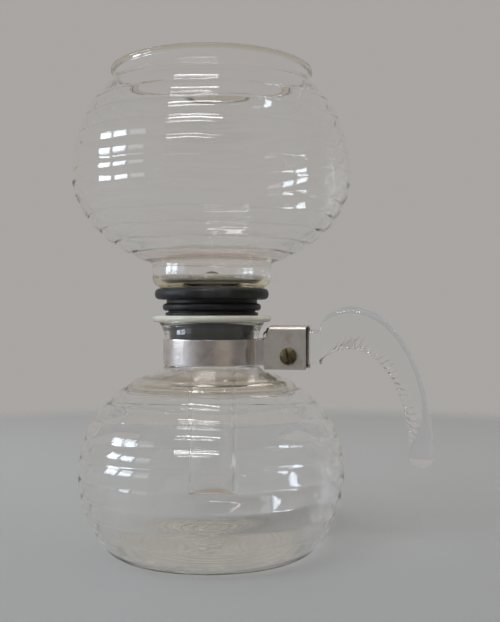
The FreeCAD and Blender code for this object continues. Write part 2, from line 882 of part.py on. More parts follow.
def make_handle(document, size):
    """A flat-sided root for the clamp, and a tapering grip that arches out and down from it."""
    body = make_body(document, "handle")
    root_start = band_outer_radius(size) + size["root_gap"]
    top = root_top(size)
    root = section_sketch(body, "root_outline", (root_start, top), (root_start, top - size["root_height"]),
                          size["root_width"], size["root_corner"])
    pad(body, root, "root", size["root_length"])

    sections = []
    for number, (outer, inner, width) in enumerate(grip_stations(size)):
        corner = width * GRIP_CORNER_SHARE if number else size["root_corner"]
        sections.append(section_sketch(body, f"grip_section_{number}", outer, inner, width, corner))
    grip = body.newObject("PartDesign::AdditiveLoft", "grip")
    grip.Profile = sections[0]
    grip.Sections = sections[1:]
    grip.Ruled = False

    hole = new_sketch(body, "root_hole_outline", "XZ_Plane")
    add_circle(hole, screw_distance(size), screw_height(size), sleeve_radius(size))
    cut_through(body, hole, "root_hole")
    return body


def make_screw_sleeve(document, size):
    """A soft tube that keeps the screw off the glass, between the two ears."""
    body = make_body(document, "screw_sleeve")
    half_length = ear_inner(size)
    opening = sleeve_radius(size) - size["sleeve_wall"]
    outline = Outline(opening, -half_length)
    outline.line_to(sleeve_radius(size), -half_length)
    outline.line_to(sleeve_radius(size), half_length)
    outline.line_to(opening, half_length)
    revolve(body, outline, "sleeve")
    place_on_screw_axis(body, size, 0)
    return body


def make_clamp_screw(document, size):
    """A slotted screw with a domed head, its head on the front cheek."""
    body = make_body(document, "clamp_screw")
    seat = cheek_outer(size)
    dome_start = seat + size["head_height"] - size["head_dome"]
    head_top = seat + size["head_height"]
    tail = -(seat + size["washer_thickness"] + size["nut_thickness"] + size["screw_tail"])
    shank = size["shank_radius"]
    outline = Outline(0, tail)
    outline.line_to(shank, tail)
    outline.line_to(shank, seat)
    outline.line_to(size["head_radius"], seat)
    outline.line_to(size["head_radius"], dome_start)
    dome_chord = diagonal(size["head_radius"], size["head_dome"])
    dome_radius = dome_chord * dome_chord / (size["head_dome"] * 2)
    half_dome_angle = arc_sine(dome_chord / (dome_radius * 2))
    outline.arc_to(0, head_top, dome_radius * (as_size(1) - cosine(half_dome_angle)))
    revolve(body, outline, "screw_turned")

    slot = new_sketch(body, "slot_outline", "XZ_Plane")
    half_slot = size["slot_width"] / 2
    slot_floor = head_top - size["slot_depth"]
    outline = Outline(-half_slot, slot_floor)
    outline.line_to(half_slot, slot_floor)
    outline.line_to(half_slot, head_top)
    outline.line_to(-half_slot, head_top)
    outline.draw(slot)
    cut_through(body, slot, "slot")
    place_on_screw_axis(body, size, SLOT_TURN)
    return body


def make_nut_washer(document, size):
    body = make_body(document, "nut_washer")
    front = -cheek_outer(size)
    back = front - size["washer_thickness"]
    opening = size["shank_radius"] + size["screw_play"]
    outline = Outline(opening, back)
    outline.line_to(size["washer_radius"], back)
    outline.line_to(size["washer_radius"], front)
    outline.line_to(opening, front)
    revolve(body, outline, "washer")
    place_on_screw_axis(body, size, 0)
    return body


def make_clamp_nut(document, size):
    body = make_body(document, "clamp_nut")
    back = -(cheek_outer(size) + size["washer_thickness"] + size["nut_thickness"])
    corner_radius = size["nut_across_flats"] / 2 / math.cos(math.radians(30))
    corners = []
    for number in range(6):
        angle = math.radians(60 * number + 30)
        corners.append((corner_radius * round(math.cos(angle), 9), corner_radius * round(math.sin(angle), 9)))
    sketch = new_sketch(body, "hexagon", "XY_Plane")
    shift_sketch(sketch, back)
    outline = Outline(*corners[0])
    for corner in corners[1:]:
        outline.line_to(*corner)
    outline.draw(sketch)
    add_circle(sketch, as_size(0), as_size(0), size["shank_radius"] + size["thread_gap"])
    pad(body, sketch, "nut", size["nut_thickness"])
    place_on_screw_axis(body, size, 0)
    return body


def check_and_export(document, pieces):
    """Stops at any failed feature, then writes one file per piece."""
    for item in document.Objects:
        if "Invalid" in item.State or "Error" in item.State:
            raise RuntimeError(f"{item.Label} failed: {item.State}")
    for piece in pieces:
        if piece.Shape.isNull() or not piece.Shape.isValid():
            raise RuntimeError(f"{piece.Label} has no valid shape")
    os.makedirs("parts", exist_ok=True)
    for piece in pieces:
        piece.Shape.exportStep(f"parts/{piece.Label}.step")
        print(piece.Label, len(piece.Shape.Solids), "solid", round(piece.Shape.Volume, 1), "mm3")


def main():
    document = FreeCAD.newDocument("siphon_coffee_maker")
    size = make_sheet(document)
    document.recompute()
    makers = [
        make_lower_pot,
        make_neck_liner,
        make_neck_band,
        make_handle_bracket,
        make_root_liner,
        make_handle,
        make_screw_sleeve,
        make_clamp_screw,
        make_nut_washer,
        make_clamp_nut,
        make_gasket,
        make_upper_bowl,
        make_siphon_tube,
        make_filter_rod,
    ]
    pieces = [maker(document, size) for maker in makers]
    document.recompute()
    check_and_export(document, pieces)


main()
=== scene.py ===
import math

import bmesh
import bpy
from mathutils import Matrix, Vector


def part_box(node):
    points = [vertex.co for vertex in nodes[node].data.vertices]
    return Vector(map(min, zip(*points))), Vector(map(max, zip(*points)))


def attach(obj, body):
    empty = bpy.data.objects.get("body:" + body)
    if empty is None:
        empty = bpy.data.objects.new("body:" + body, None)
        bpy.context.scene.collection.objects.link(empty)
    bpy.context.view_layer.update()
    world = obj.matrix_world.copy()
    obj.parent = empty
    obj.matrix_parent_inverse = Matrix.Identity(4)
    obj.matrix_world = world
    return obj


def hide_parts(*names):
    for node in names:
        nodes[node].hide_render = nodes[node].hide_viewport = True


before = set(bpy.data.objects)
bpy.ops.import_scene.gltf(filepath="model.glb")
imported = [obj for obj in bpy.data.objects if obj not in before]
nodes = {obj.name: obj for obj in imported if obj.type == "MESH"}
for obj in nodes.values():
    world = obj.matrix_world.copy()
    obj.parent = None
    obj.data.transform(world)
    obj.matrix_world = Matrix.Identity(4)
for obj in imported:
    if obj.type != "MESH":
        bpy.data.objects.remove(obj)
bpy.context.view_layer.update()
mm = 0.001
print("frame loaded with", len(nodes), "pieces")


# levels shared by several pieces, in millimetres, read from the frame

def lowOf(node):
    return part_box(node)[0] / mm


def highOf(node):
    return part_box(node)[1] / mm


lipTop = highOf("lower_pot").z
gasketTop = highOf("gasket").z
bandTop = highOf("neck_band").z
bandBottom = lowOf("neck_band").z
screwMiddle = (lowOf("screw_sleeve") + highOf("screw_sleeve")) / 2


# node tree helpers

def setInputs(tree, node, inputs):
    for key, value in inputs.items():
        socket = node.inputs[key]
        if isinstance(value, bpy.types.NodeSocket):
            tree.links.new(value, socket)
        elif socket.type == "RGBA":
            socket.default_value = (*value, 1.0)
        else:
            socket.default_value = value


def addNode(tree, kind, inputs=None, **settings):
    node = tree.nodes.new(kind)
    for key, value in settings.items():
        setattr(node, key, value)
    setInputs(tree, node, inputs or {})
    return node


def calc(tree, operation, first, second=0.0):
    return addNode(tree, "ShaderNodeMath", {0: first, 1: second}, operation=operation).outputs[0]


def plus(tree, first, second):
    return calc(tree, "ADD", first, second)


def times(tree, first, second):
    return calc(tree, "MULTIPLY", first, second)


def fadeBetween(tree, value, low, high, toLow=0.0, toHigh=1.0):
    sockets = {"Value": value, "From Min": low, "From Max": high, "To Min": toLow, "To Max": toHigh}
    return addNode(tree, "ShaderNodeMapRange", sockets, interpolation_type="SMOOTHSTEP").outputs[0]


def mixColours(tree, factor, first, second):
    # inputs 6 and 7 and output 2 are this node's colours
    sockets = {"Factor": factor, 6: first, 7: second}
    return addNode(tree, "ShaderNodeMix", sockets, data_type="RGBA").outputs[2]


def mixShaders(tree, factor, first, second):
    return addNode(tree, "ShaderNodeMixShader", {0: factor, 1: first.outputs[0], 2: second.outputs[0]})


def partsOf(tree, vector):
    return addNode(tree, "ShaderNodeSeparateXYZ", {0: vector}).outputs


def alongSide(tree, place, side):
    node = addNode(tree, "ShaderNodeVectorMath", {0: place, 1: side}, operation="DOT_PRODUCT")
    return node.outputs["Value"]


def noiseAt(tree, place, scale, detail, rough, stretch=None):
    if stretch:
        place = addNode(tree, "ShaderNodeMapping", {"Vector": place, "Scale": stretch}).outputs[0]
    sockets = {"Vector": place, "Scale": scale, "Detail": detail, "Roughness": rough}
    return addNode(tree, "ShaderNodeTexNoise", sockets).outputs["Fac"]


def newGroup(name, outputs):
    tree = bpy.data.node_groups.new(name, "ShaderNodeTree")
    tree.interface.new_socket("Place", in_out="INPUT", socket_type="NodeSocketVector")
    for output in outputs:
        tree.interface.new_socket(output, in_out="OUTPUT", socket_type="NodeSocketFloat")
    start = tree.nodes.new("NodeGroupInput")
    end = tree.nodes.new("NodeGroupOutput")
    return tree, start.outputs[0], end


def newMaterial(name):
    material = bpy.data.materials.new(name)
    material.use_nodes = True
    tree = material.node_tree
    tree.nodes.clear()
    shader = tree.nodes.new("ShaderNodeBsdfPrincipled")
    addNode(tree, "ShaderNodeOutputMaterial", {"Surface": shader.outputs[0]})
    place = tree.nodes.new("ShaderNodeTexCoord").outputs["Object"]
    return material, tree, shader, place


def bumpFrom(tree, height, strength, distance):
    sockets = {"Height": height, "Strength": strength, "Distance": distance * mm}
    return addNode(tree, "ShaderNodeBump", sockets).outputs[0]


# shared finishes; a noise is a scale, a detail, a roughness and, if need be, a stretch

marksLook = {
    "smear": (28.0, 5.0, 0.62, (1.0, 1.0, 2.2)), "smearFade": (0.52, 0.78), "smearRough": 0.07,
    "ripple": (22.0, 2.0, 0.4, (1.0, 1.0, 3.0)),
}
wearLook = {
    "stain": (160.0, 5.0, 0.6), "stainFade": (0.42, 0.72), "dent": (90.0, 2.0, 0.5),
    "scratch": (900.0, 3.0, 0.6, (0.25, 0.25, 6.0)), "scratchDepth": 0.05,
    "roughFade": (0.3, 0.7), "bumpDepth": 0.3,
}


def makeGlassMarks(look):
    tree, place, end = newGroup("glassMarks", ("Roughness", "Height"))
    smear = noiseAt(tree, place, *look["smear"])
    rough = fadeBetween(tree, smear, *look["smearFade"], 0.0, look["smearRough"])
    setInputs(tree, end, {"Roughness": rough, "Height": noiseAt(tree, place, *look["ripple"])})
    return tree


def makeMetalWear(look):
    tree, place, end = newGroup("metalWear", ("Stain", "Scratch", "Height"))
    stain = fadeBetween(tree, noiseAt(tree, place, *look["stain"]), *look["stainFade"])
    scratch = noiseAt(tree, place, *look["scratch"])
    dent = noiseAt(tree, place, *look["dent"])
    height = plus(tree, dent, times(tree, scratch, look["scratchDepth"]))
    setInputs(tree, end, {"Stain": stain, "Scratch": scratch, "Height": height})
    return tree


glassMarks = makeGlassMarks(marksLook)
metalWear = makeMetalWear(wearLook)


# glass

glassLook = {
    "tint": (0.94, 0.90, 0.76), "density": 16.0, "ripple": 0.12, "rippleDepth": 0.6, "index": 1.47,
    "shade": (0.87, 0.87, 0.87),
}
lipLook = {**glassLook, "density": 0.0}
handleLook = {
    **glassLook, "tint": (0.84, 0.92, 0.95), "density": 6.4, "ripple": 0.16, "notchBrown": (0.55, 0.40, 0.31),
    "notchBrownFade": (0.15, 0.7),
}
untinted = (1.0, 1.0, 1.0)


# painted colour bands: the amber of thick glass together with painted brown reflections and dark edge lines
def bandsOfPaintedReflection(tree, place, bands):
    level = partsOf(tree, place)[2]
    colour = untinted
    for low, high, soft, paintedTint in bands:
        above = fadeBetween(tree, level, (low - soft) * mm, (low + soft) * mm)
        below = fadeBetween(tree, level, (high - soft) * mm, (high + soft) * mm, 1.0, 0.0)
        colour = mixColours(tree, times(tree, above, below), colour, paintedTint)
    return colour


def brownInNotches(tree, look):
    depth = addNode(tree, "ShaderNodeAttribute", attribute_name="notchDepth").outputs["Fac"]
    return mixColours(tree, fadeBetween(tree, depth, *look["notchBrownFade"]), untinted, look["notchBrown"])


def makeGlass(name, look, bands=()):
    material, tree, shader, place = newMaterial(name)
    marks = addNode(tree, "ShaderNodeGroup", {0: place}, node_tree=glassMarks).outputs
    colour = bandsOfPaintedReflection(tree, place, bands)  # thick glass looks amber; brown reflections and dark edge lines are painted in at set levels
    if "notchBrown" in look:  # the cut notches are tinted brown, the more the deeper they are
        colour = brownInNotches(tree, look)
    bump = bumpFrom(tree, marks["Height"], look["ripple"], look["rippleDepth"])
    setInputs(tree, shader, {
        "Base Color": colour, "Roughness": marks["Roughness"], "Normal": bump, "IOR": look["index"],
        "Transmission Weight": 1.0,
    })
    clear = addNode(tree, "ShaderNodeBsdfTransparent", {"Color": look["shade"]})
    lightPath = tree.nodes.new("ShaderNodeLightPath")
    mix = mixShaders(tree, lightPath.outputs["Is Shadow Ray"], shader, clear)
    sockets = {"Surface": mix.outputs[0]}
    if look["density"]:
        soaked = {"Color": look["tint"], "Density": look["density"]}
        sockets["Volume"] = addNode(tree, "ShaderNodeVolumeAbsorption", soaked).outputs[0]
    setInputs(tree, tree.nodes["Material Output"], sockets)
    return material


# levels where thick glass looks amber and where brown reflections and dark edge lines are painted into its
# colour: low, high, softness and colour
rimLevel = highOf("upper_bowl").z
tubeEndLevel = lowOf("siphon_tube").z
potPaintedBands = (
    (-5.0, 2.4, 0.6, (0.965, 0.94, 0.875)),
    (91.5, 95.5, 1.5, (0.945, 0.90, 0.81)),
    (89.4, 90.4, 0.5, (0.76, 0.67, 0.54)),
    (95.6, 96.8, 0.5, (0.66, 0.57, 0.45)),
)
bowlPaintedBands = (
    (tubeEndLevel - 1.0, tubeEndLevel + 2.0, 0.6, (0.82, 0.73, 0.60)),
    (gasketTop, gasketTop + 4.0, 1.0, (0.88, 0.81, 0.65)),
    (gasketTop + 13.5, gasketTop + 19.0, 1.5, (0.95, 0.89, 0.86)),
    (rimLevel - 2.4, rimLevel + 5.0, 0.5, (0.88, 0.82, 0.73)),
)
potGlass = makeGlass("potGlass", glassLook, potPaintedBands)
bowlGlass = makeGlass("bowlGlass", glassLook, bowlPaintedBands)
filterGlass = makeGlass("filterGlass", glassLook)
lipGlass = makeGlass("lipGlass", lipLook)
handleGlass = makeGlass("handleGlass", handleLook)


# ground glass, metal and rubber

groundLook = {
    "pale": (0.87, 0.86, 0.73), "worn": (0.80, 0.78, 0.66), "clearness": 0.5, "rough": (0.126, 0.234),
    "grain": (1400.0, 3.0, 0.6), "bump": (0.02, 0.05), "patches": (60.0, 4.0, 0.6),
    "patchFade": (0.4, 0.7), "roughFade": (0.3, 0.7),
}
metalLooks = {
    "bandSteel": {
        "clean": (0.76, 0.72, 0.71), "stained": (0.64, 0.58, 0.55), "rough": (0.19, 0.27), "bump": 0.02,
    },
    "bracketSteel": {
        "clean": (0.62, 0.58, 0.53), "stained": (0.48, 0.43, 0.37), "rough": (0.34, 0.5), "bump": 0.35,
    },
    "screwBrass": {
        "clean": (0.15, 0.12, 0.065), "stained": (0.055, 0.046, 0.03), "rough": (0.34, 0.6), "bump": 0.5,
    },
}
rubberLooks = {
    "gasketRubber": {"dark": (0.01, 0.01, 0.011), "dusty": (0.035, 0.034, 0.034), "rough": (0.38, 0.58)},
    "linerRubber": {"dark": (0.035, 0.030, 0.026), "dusty": (0.07, 0.06, 0.05), "rough": (0.6, 0.8)},
}
dustLook = {
    "dust": (120.0, 6.0, 0.65), "dustFade": (0.45, 0.8), "roughFade": (0.3, 0.8),
    "grain": (2600.0, 2.0, 0.5), "bump": (0.15, 0.1), "shine": 0.3,
}


def makeGroundGlass(name, look):
    material, tree, shader, place = newMaterial(name)
    patches = noiseAt(tree, place, *look["patches"])
    worn = fadeBetween(tree, patches, *look["patchFade"])
    setInputs(tree, shader, {
        "Base Color": mixColours(tree, worn, look["pale"], look["worn"]),
        "Roughness": fadeBetween(tree, patches, *look["roughFade"], *look["rough"]),
        "Normal": bumpFrom(tree, noiseAt(tree, place, *look["grain"]), *look["bump"]),
        "IOR": glassLook["index"], "Transmission Weight": look["clearness"],
    })
    return material


def makeMetal(name, look):
    material, tree, shader, place = newMaterial(name)
    wear = addNode(tree, "ShaderNodeGroup", {0: place}, node_tree=metalWear).outputs
    setInputs(tree, shader, {
        "Base Color": mixColours(tree, wear["Stain"], look["clean"], look["stained"]),
        "Roughness": fadeBetween(tree, wear["Scratch"], *wearLook["roughFade"], *look["rough"]),
        "Normal": bumpFrom(tree, wear["Height"], look["bump"], wearLook["bumpDepth"]), "Metallic": 1.0,
    })
    return material


def makeRubber(name, look):
    material, tree, shader, place = newMaterial(name)
    dust = noiseAt(tree, place, *dustLook["dust"])
    dusty = fadeBetween(tree, dust, *dustLook["dustFade"])
    setInputs(tree, shader, {
        "Base Color": mixColours(tree, dusty, look["dark"], look["dusty"]),
        "Roughness": fadeBetween(tree, dust, *dustLook["roughFade"], *look["rough"]),
        "Normal": bumpFrom(tree, noiseAt(tree, place, *dustLook["grain"]), *dustLook["bump"]),
        "Specular IOR Level": dustLook["shine"],
    })
    return material


lipEdgeGlass = makeGroundGlass("lipEdgeGlass", groundLook)
bandSteel, bracketSteel, screwBrass = [makeMetal(name, look) for name, look in metalLooks.items()]
gasketRubber, linerRubber = [makeRubber(name, look) for name, look in rubberLooks.items()]
print("finishes ready")


# turned pieces: an outline of (radius, height, rib count so far, rib strength) rows

def between(first, second, share):
    return first + (second - first) * share


def around(angle):
    return math.cos(angle), math.sin(angle)


def shares(count):
    return [step / count for step in range(count)]


def sweepTo(rows, corner, radius, height, steps=8):
    startRadius, startHeight = rows[-1][:2]
    for step in range(1, steps + 1):
        share = step / steps
        first, middle, last = (1 - share) ** 2, 2 * share * (1 - share), share ** 2
        rows.append((first * startRadius + middle * corner[0] + last * radius,
                     first * startHeight + middle * corner[1] + last * height, 0.0, 0.0))


def runTo(rows, radius, height, steps=1):
    midway = (between(rows[-1][0], radius, 0.5), between(rows[-1][1], height, 0.5))
    sweepTo(rows, midway, radius, height, steps)


def roundTo(rows, centre, size, fromAngle, toAngle, steps=8):
    for step in range(steps + 1):
        out, up = around(math.radians(between(fromAngle, toAngle, step / steps)))
        rows.append((centre[0] + size * out, centre[1] + size * up, 0.0, 0.0))


def angleWhere(oval, radius):
    return math.degrees(math.acos(radius / oval[0]))


def ovalPoint(oval, angle):
    radius, middle, half = oval
    out, up = around(math.radians(angle))
    return radius * out, middle + half * up


def ribsTo(rows, oval, fromAngle, toAngle, ribs, strength, look):
    total = look["lowerRibs"] + look["upperRibs"]
    count = abs(ribs[1] - ribs[0]) * look["stepsPerRib"]
    boosted = 2.5  # so many of the topmost ribs grow stronger
    for step in range(count + 1):
        share = step / count
        turn = between(*ribs, share)
        fade = min(1.0, min(turn, total - turn) / look["ribFade"])  # ribs die out at both ends of the belly
        boost = 1.0 + look["topBoost"] * max(0.0, turn - total + boosted) / boosted
        height = strength * boost * fade * fade * (3 - 2 * fade)
        rows.append((*ovalPoint(oval, between(fromAngle, toAngle, share)), turn, height))


def bellyUp(rows, ovals, lowAngle, highAngle, shape):
    middle = shape["lowerRibs"]
    ribsTo(rows, ovals[0], lowAngle, 0.0, (0, middle), 1.0, shape)
    ribsTo(rows, ovals[1], 0.0, highAngle, (middle, middle + shape["upperRibs"]), 1.0, shape)


def bellyDown(rows, ovals, highAngle, lowAngle, shape):
    middle = shape["lowerRibs"]
    lean = -shape["insideStrength"]
    ribsTo(rows, ovals[1], highAngle, 0.0, (middle + shape["upperRibs"], middle), lean, shape)
    ribsTo(rows, ovals[0], 0.0, lowAngle, (middle, 0), lean, shape)


def outlineMesh(name, rows):
    closest = 0.01
    tidy = [rows[0]]
    for row in rows[1:]:
        if math.hypot(row[0] - tidy[-1][0], row[1] - tidy[-1][1]) > closest:
            tidy.append(row)
    points = [Vector((row[0], 0.0, row[1])) * mm for row in tidy]
    mesh = bpy.data.meshes.new(name)
    mesh.from_pydata(points, [(index, index + 1) for index in range(len(points) - 1)], [])
    turn = mesh.attributes.new("ribTurn", "FLOAT", "POINT")
    strength = mesh.attributes.new("ribStrength", "FLOAT", "POINT")
    outward = mesh.attributes.new("ribOutward", "FLOAT_VECTOR", "POINT")
    for index, row in enumerate(tidy):
        before = points[max(index - 1, 0)]
        after = points[min(index + 1, len(points) - 1)]
        along = (after - before).normalized()
        turn.data[index].value = row[2]
        strength.data[index].value = row[3]
        outward.data[index].vector = (along.z, 0.0, -along.x)
    return mesh


latheLook = {"ringRise": 14.0, "driftScale": 1.6, "swellScale": 2.4, "swellSeed": 7.0, "crestLevel": 0.36,
             "swellLevel": 0.6, "weld": 0.002, "seam": 0.001}


def makeLatheTree(look):
    tree = bpy.data.node_groups.new("ribbedLathe", "GeometryNodeTree")
    kinds = {"Outline": "Geometry", "Segments": "Int", "Rib Height": "Float", "Rib Wander": "Float",
             "Unevenness": "Float", "Seed": "Float", "Finish": "Material"}
    for name, kind in kinds.items():
        tree.interface.new_socket(name, in_out="INPUT", socket_type="NodeSocket" + kind)
    tree.interface.new_socket("Turned", in_out="OUTPUT", socket_type="NodeSocketGeometry")
    given = tree.nodes.new("NodeGroupInput").outputs

    # a flat sheet, its rows matched to the outline's points and its columns to the turn
    count = addNode(tree, "GeometryNodeAttributeDomainSize", {0: given["Outline"]}).outputs["Point Count"]
    columns = plus(tree, given["Segments"], 1.0)
    sheet = addNode(tree, "GeometryNodeMeshGrid", {0: 1.0, 1: 1.0, 2: columns, 3: count})
    position = tree.nodes.new("GeometryNodeInputPosition").outputs[0]
    flat = partsOf(tree, position)
    angle = times(tree, plus(tree, flat[0], 0.5), 2 * math.pi)
    lastRow = calc(tree, "SUBTRACT", count, 1.0)
    rowPlace = times(tree, plus(tree, flat[1], 0.5), lastRow)
    row = addNode(tree, "FunctionNodeFloatToInt", {0: rowPlace}, rounding_mode="ROUND").outputs[0]

    def sampled(kind, value):
        sockets = {"Geometry": given["Outline"], "Value": value, "Index": row}
        return addNode(tree, "GeometryNodeSampleIndex", sockets, data_type=kind, domain="POINT").outputs[0]

    def stored(kind, name):
        return addNode(tree, "GeometryNodeInputNamedAttribute", {"Name": name}, data_type=kind).outputs[0]

    point = sampled("FLOAT_VECTOR", position)
    outward = sampled("FLOAT_VECTOR", stored("FLOAT_VECTOR", "ribOutward"))
    turn = sampled("FLOAT", stored("FLOAT", "ribTurn"))
    strength = sampled("FLOAT", stored("FLOAT", "ribStrength"))
    pointParts = partsOf(tree, point)
    outwardParts = partsOf(tree, outward)
    cosine = calc(tree, "COSINE", angle)
    sine = calc(tree, "SINE", angle)

    # ribs wander a little round the vessel, as blown glass does
    ringRise = times(tree, pointParts[2], look["ringRise"])
    ring = addNode(tree, "ShaderNodeCombineXYZ", {0: cosine, 1: sine, 2: ringRise}).outputs[0]

    def wandering(seed, scale):
        sockets = {"Vector": ring, "W": seed, "Scale": scale, "Detail": 1.0}
        return addNode(tree, "ShaderNodeTexNoise", sockets, noise_dimensions="4D").outputs["Fac"]

    drift = wandering(given["Seed"], look["driftScale"])
    swell = wandering(plus(tree, given["Seed"], look["swellSeed"]), look["swellScale"])
    shifted = times(tree, calc(tree, "SUBTRACT", drift, 0.5), given["Rib Wander"])
    phase = calc(tree, "FRACT", plus(tree, turn, shifted))
    wave = calc(tree, "SINE", times(tree, phase, math.pi))
    crest = calc(tree, "SUBTRACT", wave, look["crestLevel"])  # round ridges that meet in sharp valleys
    ribs = times(tree, crest, given["Rib Height"])
    waves = times(tree, calc(tree, "SUBTRACT", swell, look["swellLevel"]), given["Unevenness"])
    lift = times(tree, plus(tree, ribs, waves), strength)

    radius = plus(tree, pointParts[0], times(tree, outwardParts[0], lift))
    height = plus(tree, pointParts[2], times(tree, outwardParts[2], lift))
    turnedX = times(tree, radius, cosine)
    turnedY = times(tree, radius, sine)
    place = addNode(tree, "ShaderNodeCombineXYZ", {0: turnedX, 1: turnedY, 2: height}).outputs[0]
    steps = (("SetPosition", {"Position": place}), ("MergeByDistance", {"Distance": look["weld"] * mm}),
             ("SetShadeSmooth", {}), ("RealizeInstances", {}), ("SetMaterial", {"Material": given["Finish"]}))
    turned = sheet.outputs[0]
    for kind, sockets in steps:
        turned = addNode(tree, "GeometryNode" + kind, {"Geometry": turned, **sockets}).outputs[0]
    addNode(tree, "NodeGroupOutput", {0: turned})
    return tree


latheTree = makeLatheTree(latheLook)


def newObject(name, mesh):
    piece = bpy.data.objects.new(name, mesh)
    bpy.context.scene.collection.objects.link(piece)
    return piece


def sayFaces(piece):
    print(piece.name, len(piece.data.polygons), "faces")


def bakeModifiers(piece):
    graph = bpy.context.evaluated_depsgraph_get()
    mesh = bpy.data.meshes.new_from_object(piece.evaluated_get(graph))
    piece.modifiers.clear()
    piece.data = mesh


def meshFrom(work, name):
    bmesh.ops.recalc_face_normals(work, faces=work.faces)
    mesh = bpy.data.meshes.new(name)
    work.to_mesh(mesh)
    work.free()
    return mesh


def joinRings(work, rings):
    for first, second in zip(rings, rings[1:]):
        for index in range(len(first)):
            work.faces.new((first[index - 1], first[index], second[index], second[index - 1]))


def turnOutwards(mesh):
    work = bmesh.new()
    work.from_mesh(mesh)
    bmesh.ops.remove_doubles(work, verts=work.verts, dist=latheLook["seam"] * mm)
    bmesh.ops.recalc_face_normals(work, faces=work.faces)
    work.to_mesh(mesh)
    work.free()


def turnPiece(name, rows, look, finish):
    piece = newObject(name, outlineMesh(name + "Outline", rows))
    modifier = piece.modifiers.new("lathe", "NODES")
    modifier.node_group = latheTree
    values = {"Segments": look["segments"], "Rib Height": look["ribHeight"] * mm,
              "Rib Wander": look["ribWander"], "Unevenness": look["unevenness"] * mm, "Seed": look["seed"],
              "Finish": finish}
    for item in latheTree.interface.items_tree:
        if item.in_out == "INPUT" and item.name in values:
            modifier[item.identifier] = values[item.name]
    bakeModifiers(piece)
    turnOutwards(piece.data)
    sayFaces(piece)
    return piece


# lower pot

potShape = {
    "bellyRadius": 73.0, "bellyHeight": 45.6, "bellyDrop": 69.6, "wall": 1.6,
    "baseRadius": 53.0, "baseThickness": 2.0, "cornerHeight": 5.0, "footTurn": 4.0, "footCorner": 2.6,
    "shoulderRadius": 38.0, "shoulderCorner": 5.2, "insideCorner": 5.6, "floorCorner": 3.4,
    "neckLength": 33.8, "neckRadius": 26.0, "neckWall": 2.3, "neckBelowBand": 0.4,
    "flareOut": 0.5, "flareUp": 5.0, "flareEdge": 0.6, "mouthRadius": 29.2, "mouthOpening": 24.6,
    "mouthEase": 0.2, "lipRadius": 33.1, "lipThickness": 3.6, "lipEdge": 0.4, "lipGap": 0.05,
    "upperRibs": 6, "lowerRibs": 4, "floorRings": 12, "ringStrength": 0.09, "insideStrength": 0.8,
    "segments": 192, "stepsPerRib": 12, "ribFade": 0.5, "ribHeight": 1.0,
    "topBoost": 0.9, "ribWander": 0.6, "unevenness": 0.3, "seed": 3.0,
}


def makePot(shape):
    belly = shape["bellyRadius"]
    middle = shape["bellyHeight"]
    wall = shape["wall"]
    shoulderLevel = lipTop - shape["neckLength"]
    shoulderAngle = math.degrees(math.acos(shape["shoulderRadius"] / belly))
    baseAngle = math.degrees(math.asin((middle - shape["cornerHeight"]) / shape["bellyDrop"]))
    rise = (shoulderLevel - middle) / math.sin(math.radians(shoulderAngle))
    outside = ((belly, middle, shape["bellyDrop"]), (belly, middle, rise))
    inside = ((belly - wall, middle, shape["bellyDrop"] - shape["baseThickness"] / 2),
              (belly - wall, middle, rise - wall))
    neck = shape["neckRadius"]
    neckInside = neck - shape["neckWall"]
    neckStart = bandBottom - shape["neckBelowBand"]
    lipBottom = lipTop - shape["lipThickness"]
    mouthTop = lipBottom - shape["lipGap"]

    rows = [(0.0, 0.0, 0.0, 0.0)]
    runTo(rows, shape["baseRadius"] - shape["footTurn"], 0.0, steps=6)
    footCorner = (shape["baseRadius"] + shape["footCorner"], 0.0)
    sweepTo(rows, footCorner, *ovalPoint(outside[0], -baseAngle), steps=10)
    bellyUp(rows, outside, -baseAngle, shoulderAngle, shape)
    sweepTo(rows, (neck, shoulderLevel + shape["shoulderCorner"]), neck, neckStart, steps=12)
    runTo(rows, neck, bandTop, steps=4)
    flareCorner = (neck + shape["flareOut"], bandTop + shape["flareUp"])
    sweepTo(rows, flareCorner, shape["mouthRadius"], lipBottom - shape["flareEdge"], steps=10)
    runTo(rows, shape["mouthRadius"], mouthTop)
    runTo(rows, shape["mouthOpening"] - shape["mouthEase"], mouthTop, steps=3)
    runTo(rows, neckInside, bandTop, steps=6)
    runTo(rows, neckInside, neckStart, steps=4)
    insideShoulder = ovalPoint(inside[1], shoulderAngle)
    sweepTo(rows, (neckInside, insideShoulder[1] + shape["insideCorner"]), *insideShoulder, steps=12)
    bellyDown(rows, inside, shoulderAngle, -baseAngle, shape)
    floor = shape["baseThickness"]
    ringEdge = shape["baseRadius"] - wall
    sweepTo(rows, (ringEdge + shape["floorCorner"], floor), ringEdge, floor, steps=8)
    ringSteps = shape["floorRings"] * shape["stepsPerRib"]
    for share in shares(ringSteps)[1:]:
        rows.append((ringEdge * (1 - share), floor, shape["floorRings"] * share, shape["ringStrength"]))
    rows.append((0.0, floor, 0.0, 0.0))
    piece = turnPiece("potVessel", rows, shape, potGlass)
    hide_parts("lower_pot")
    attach(piece, "pot")


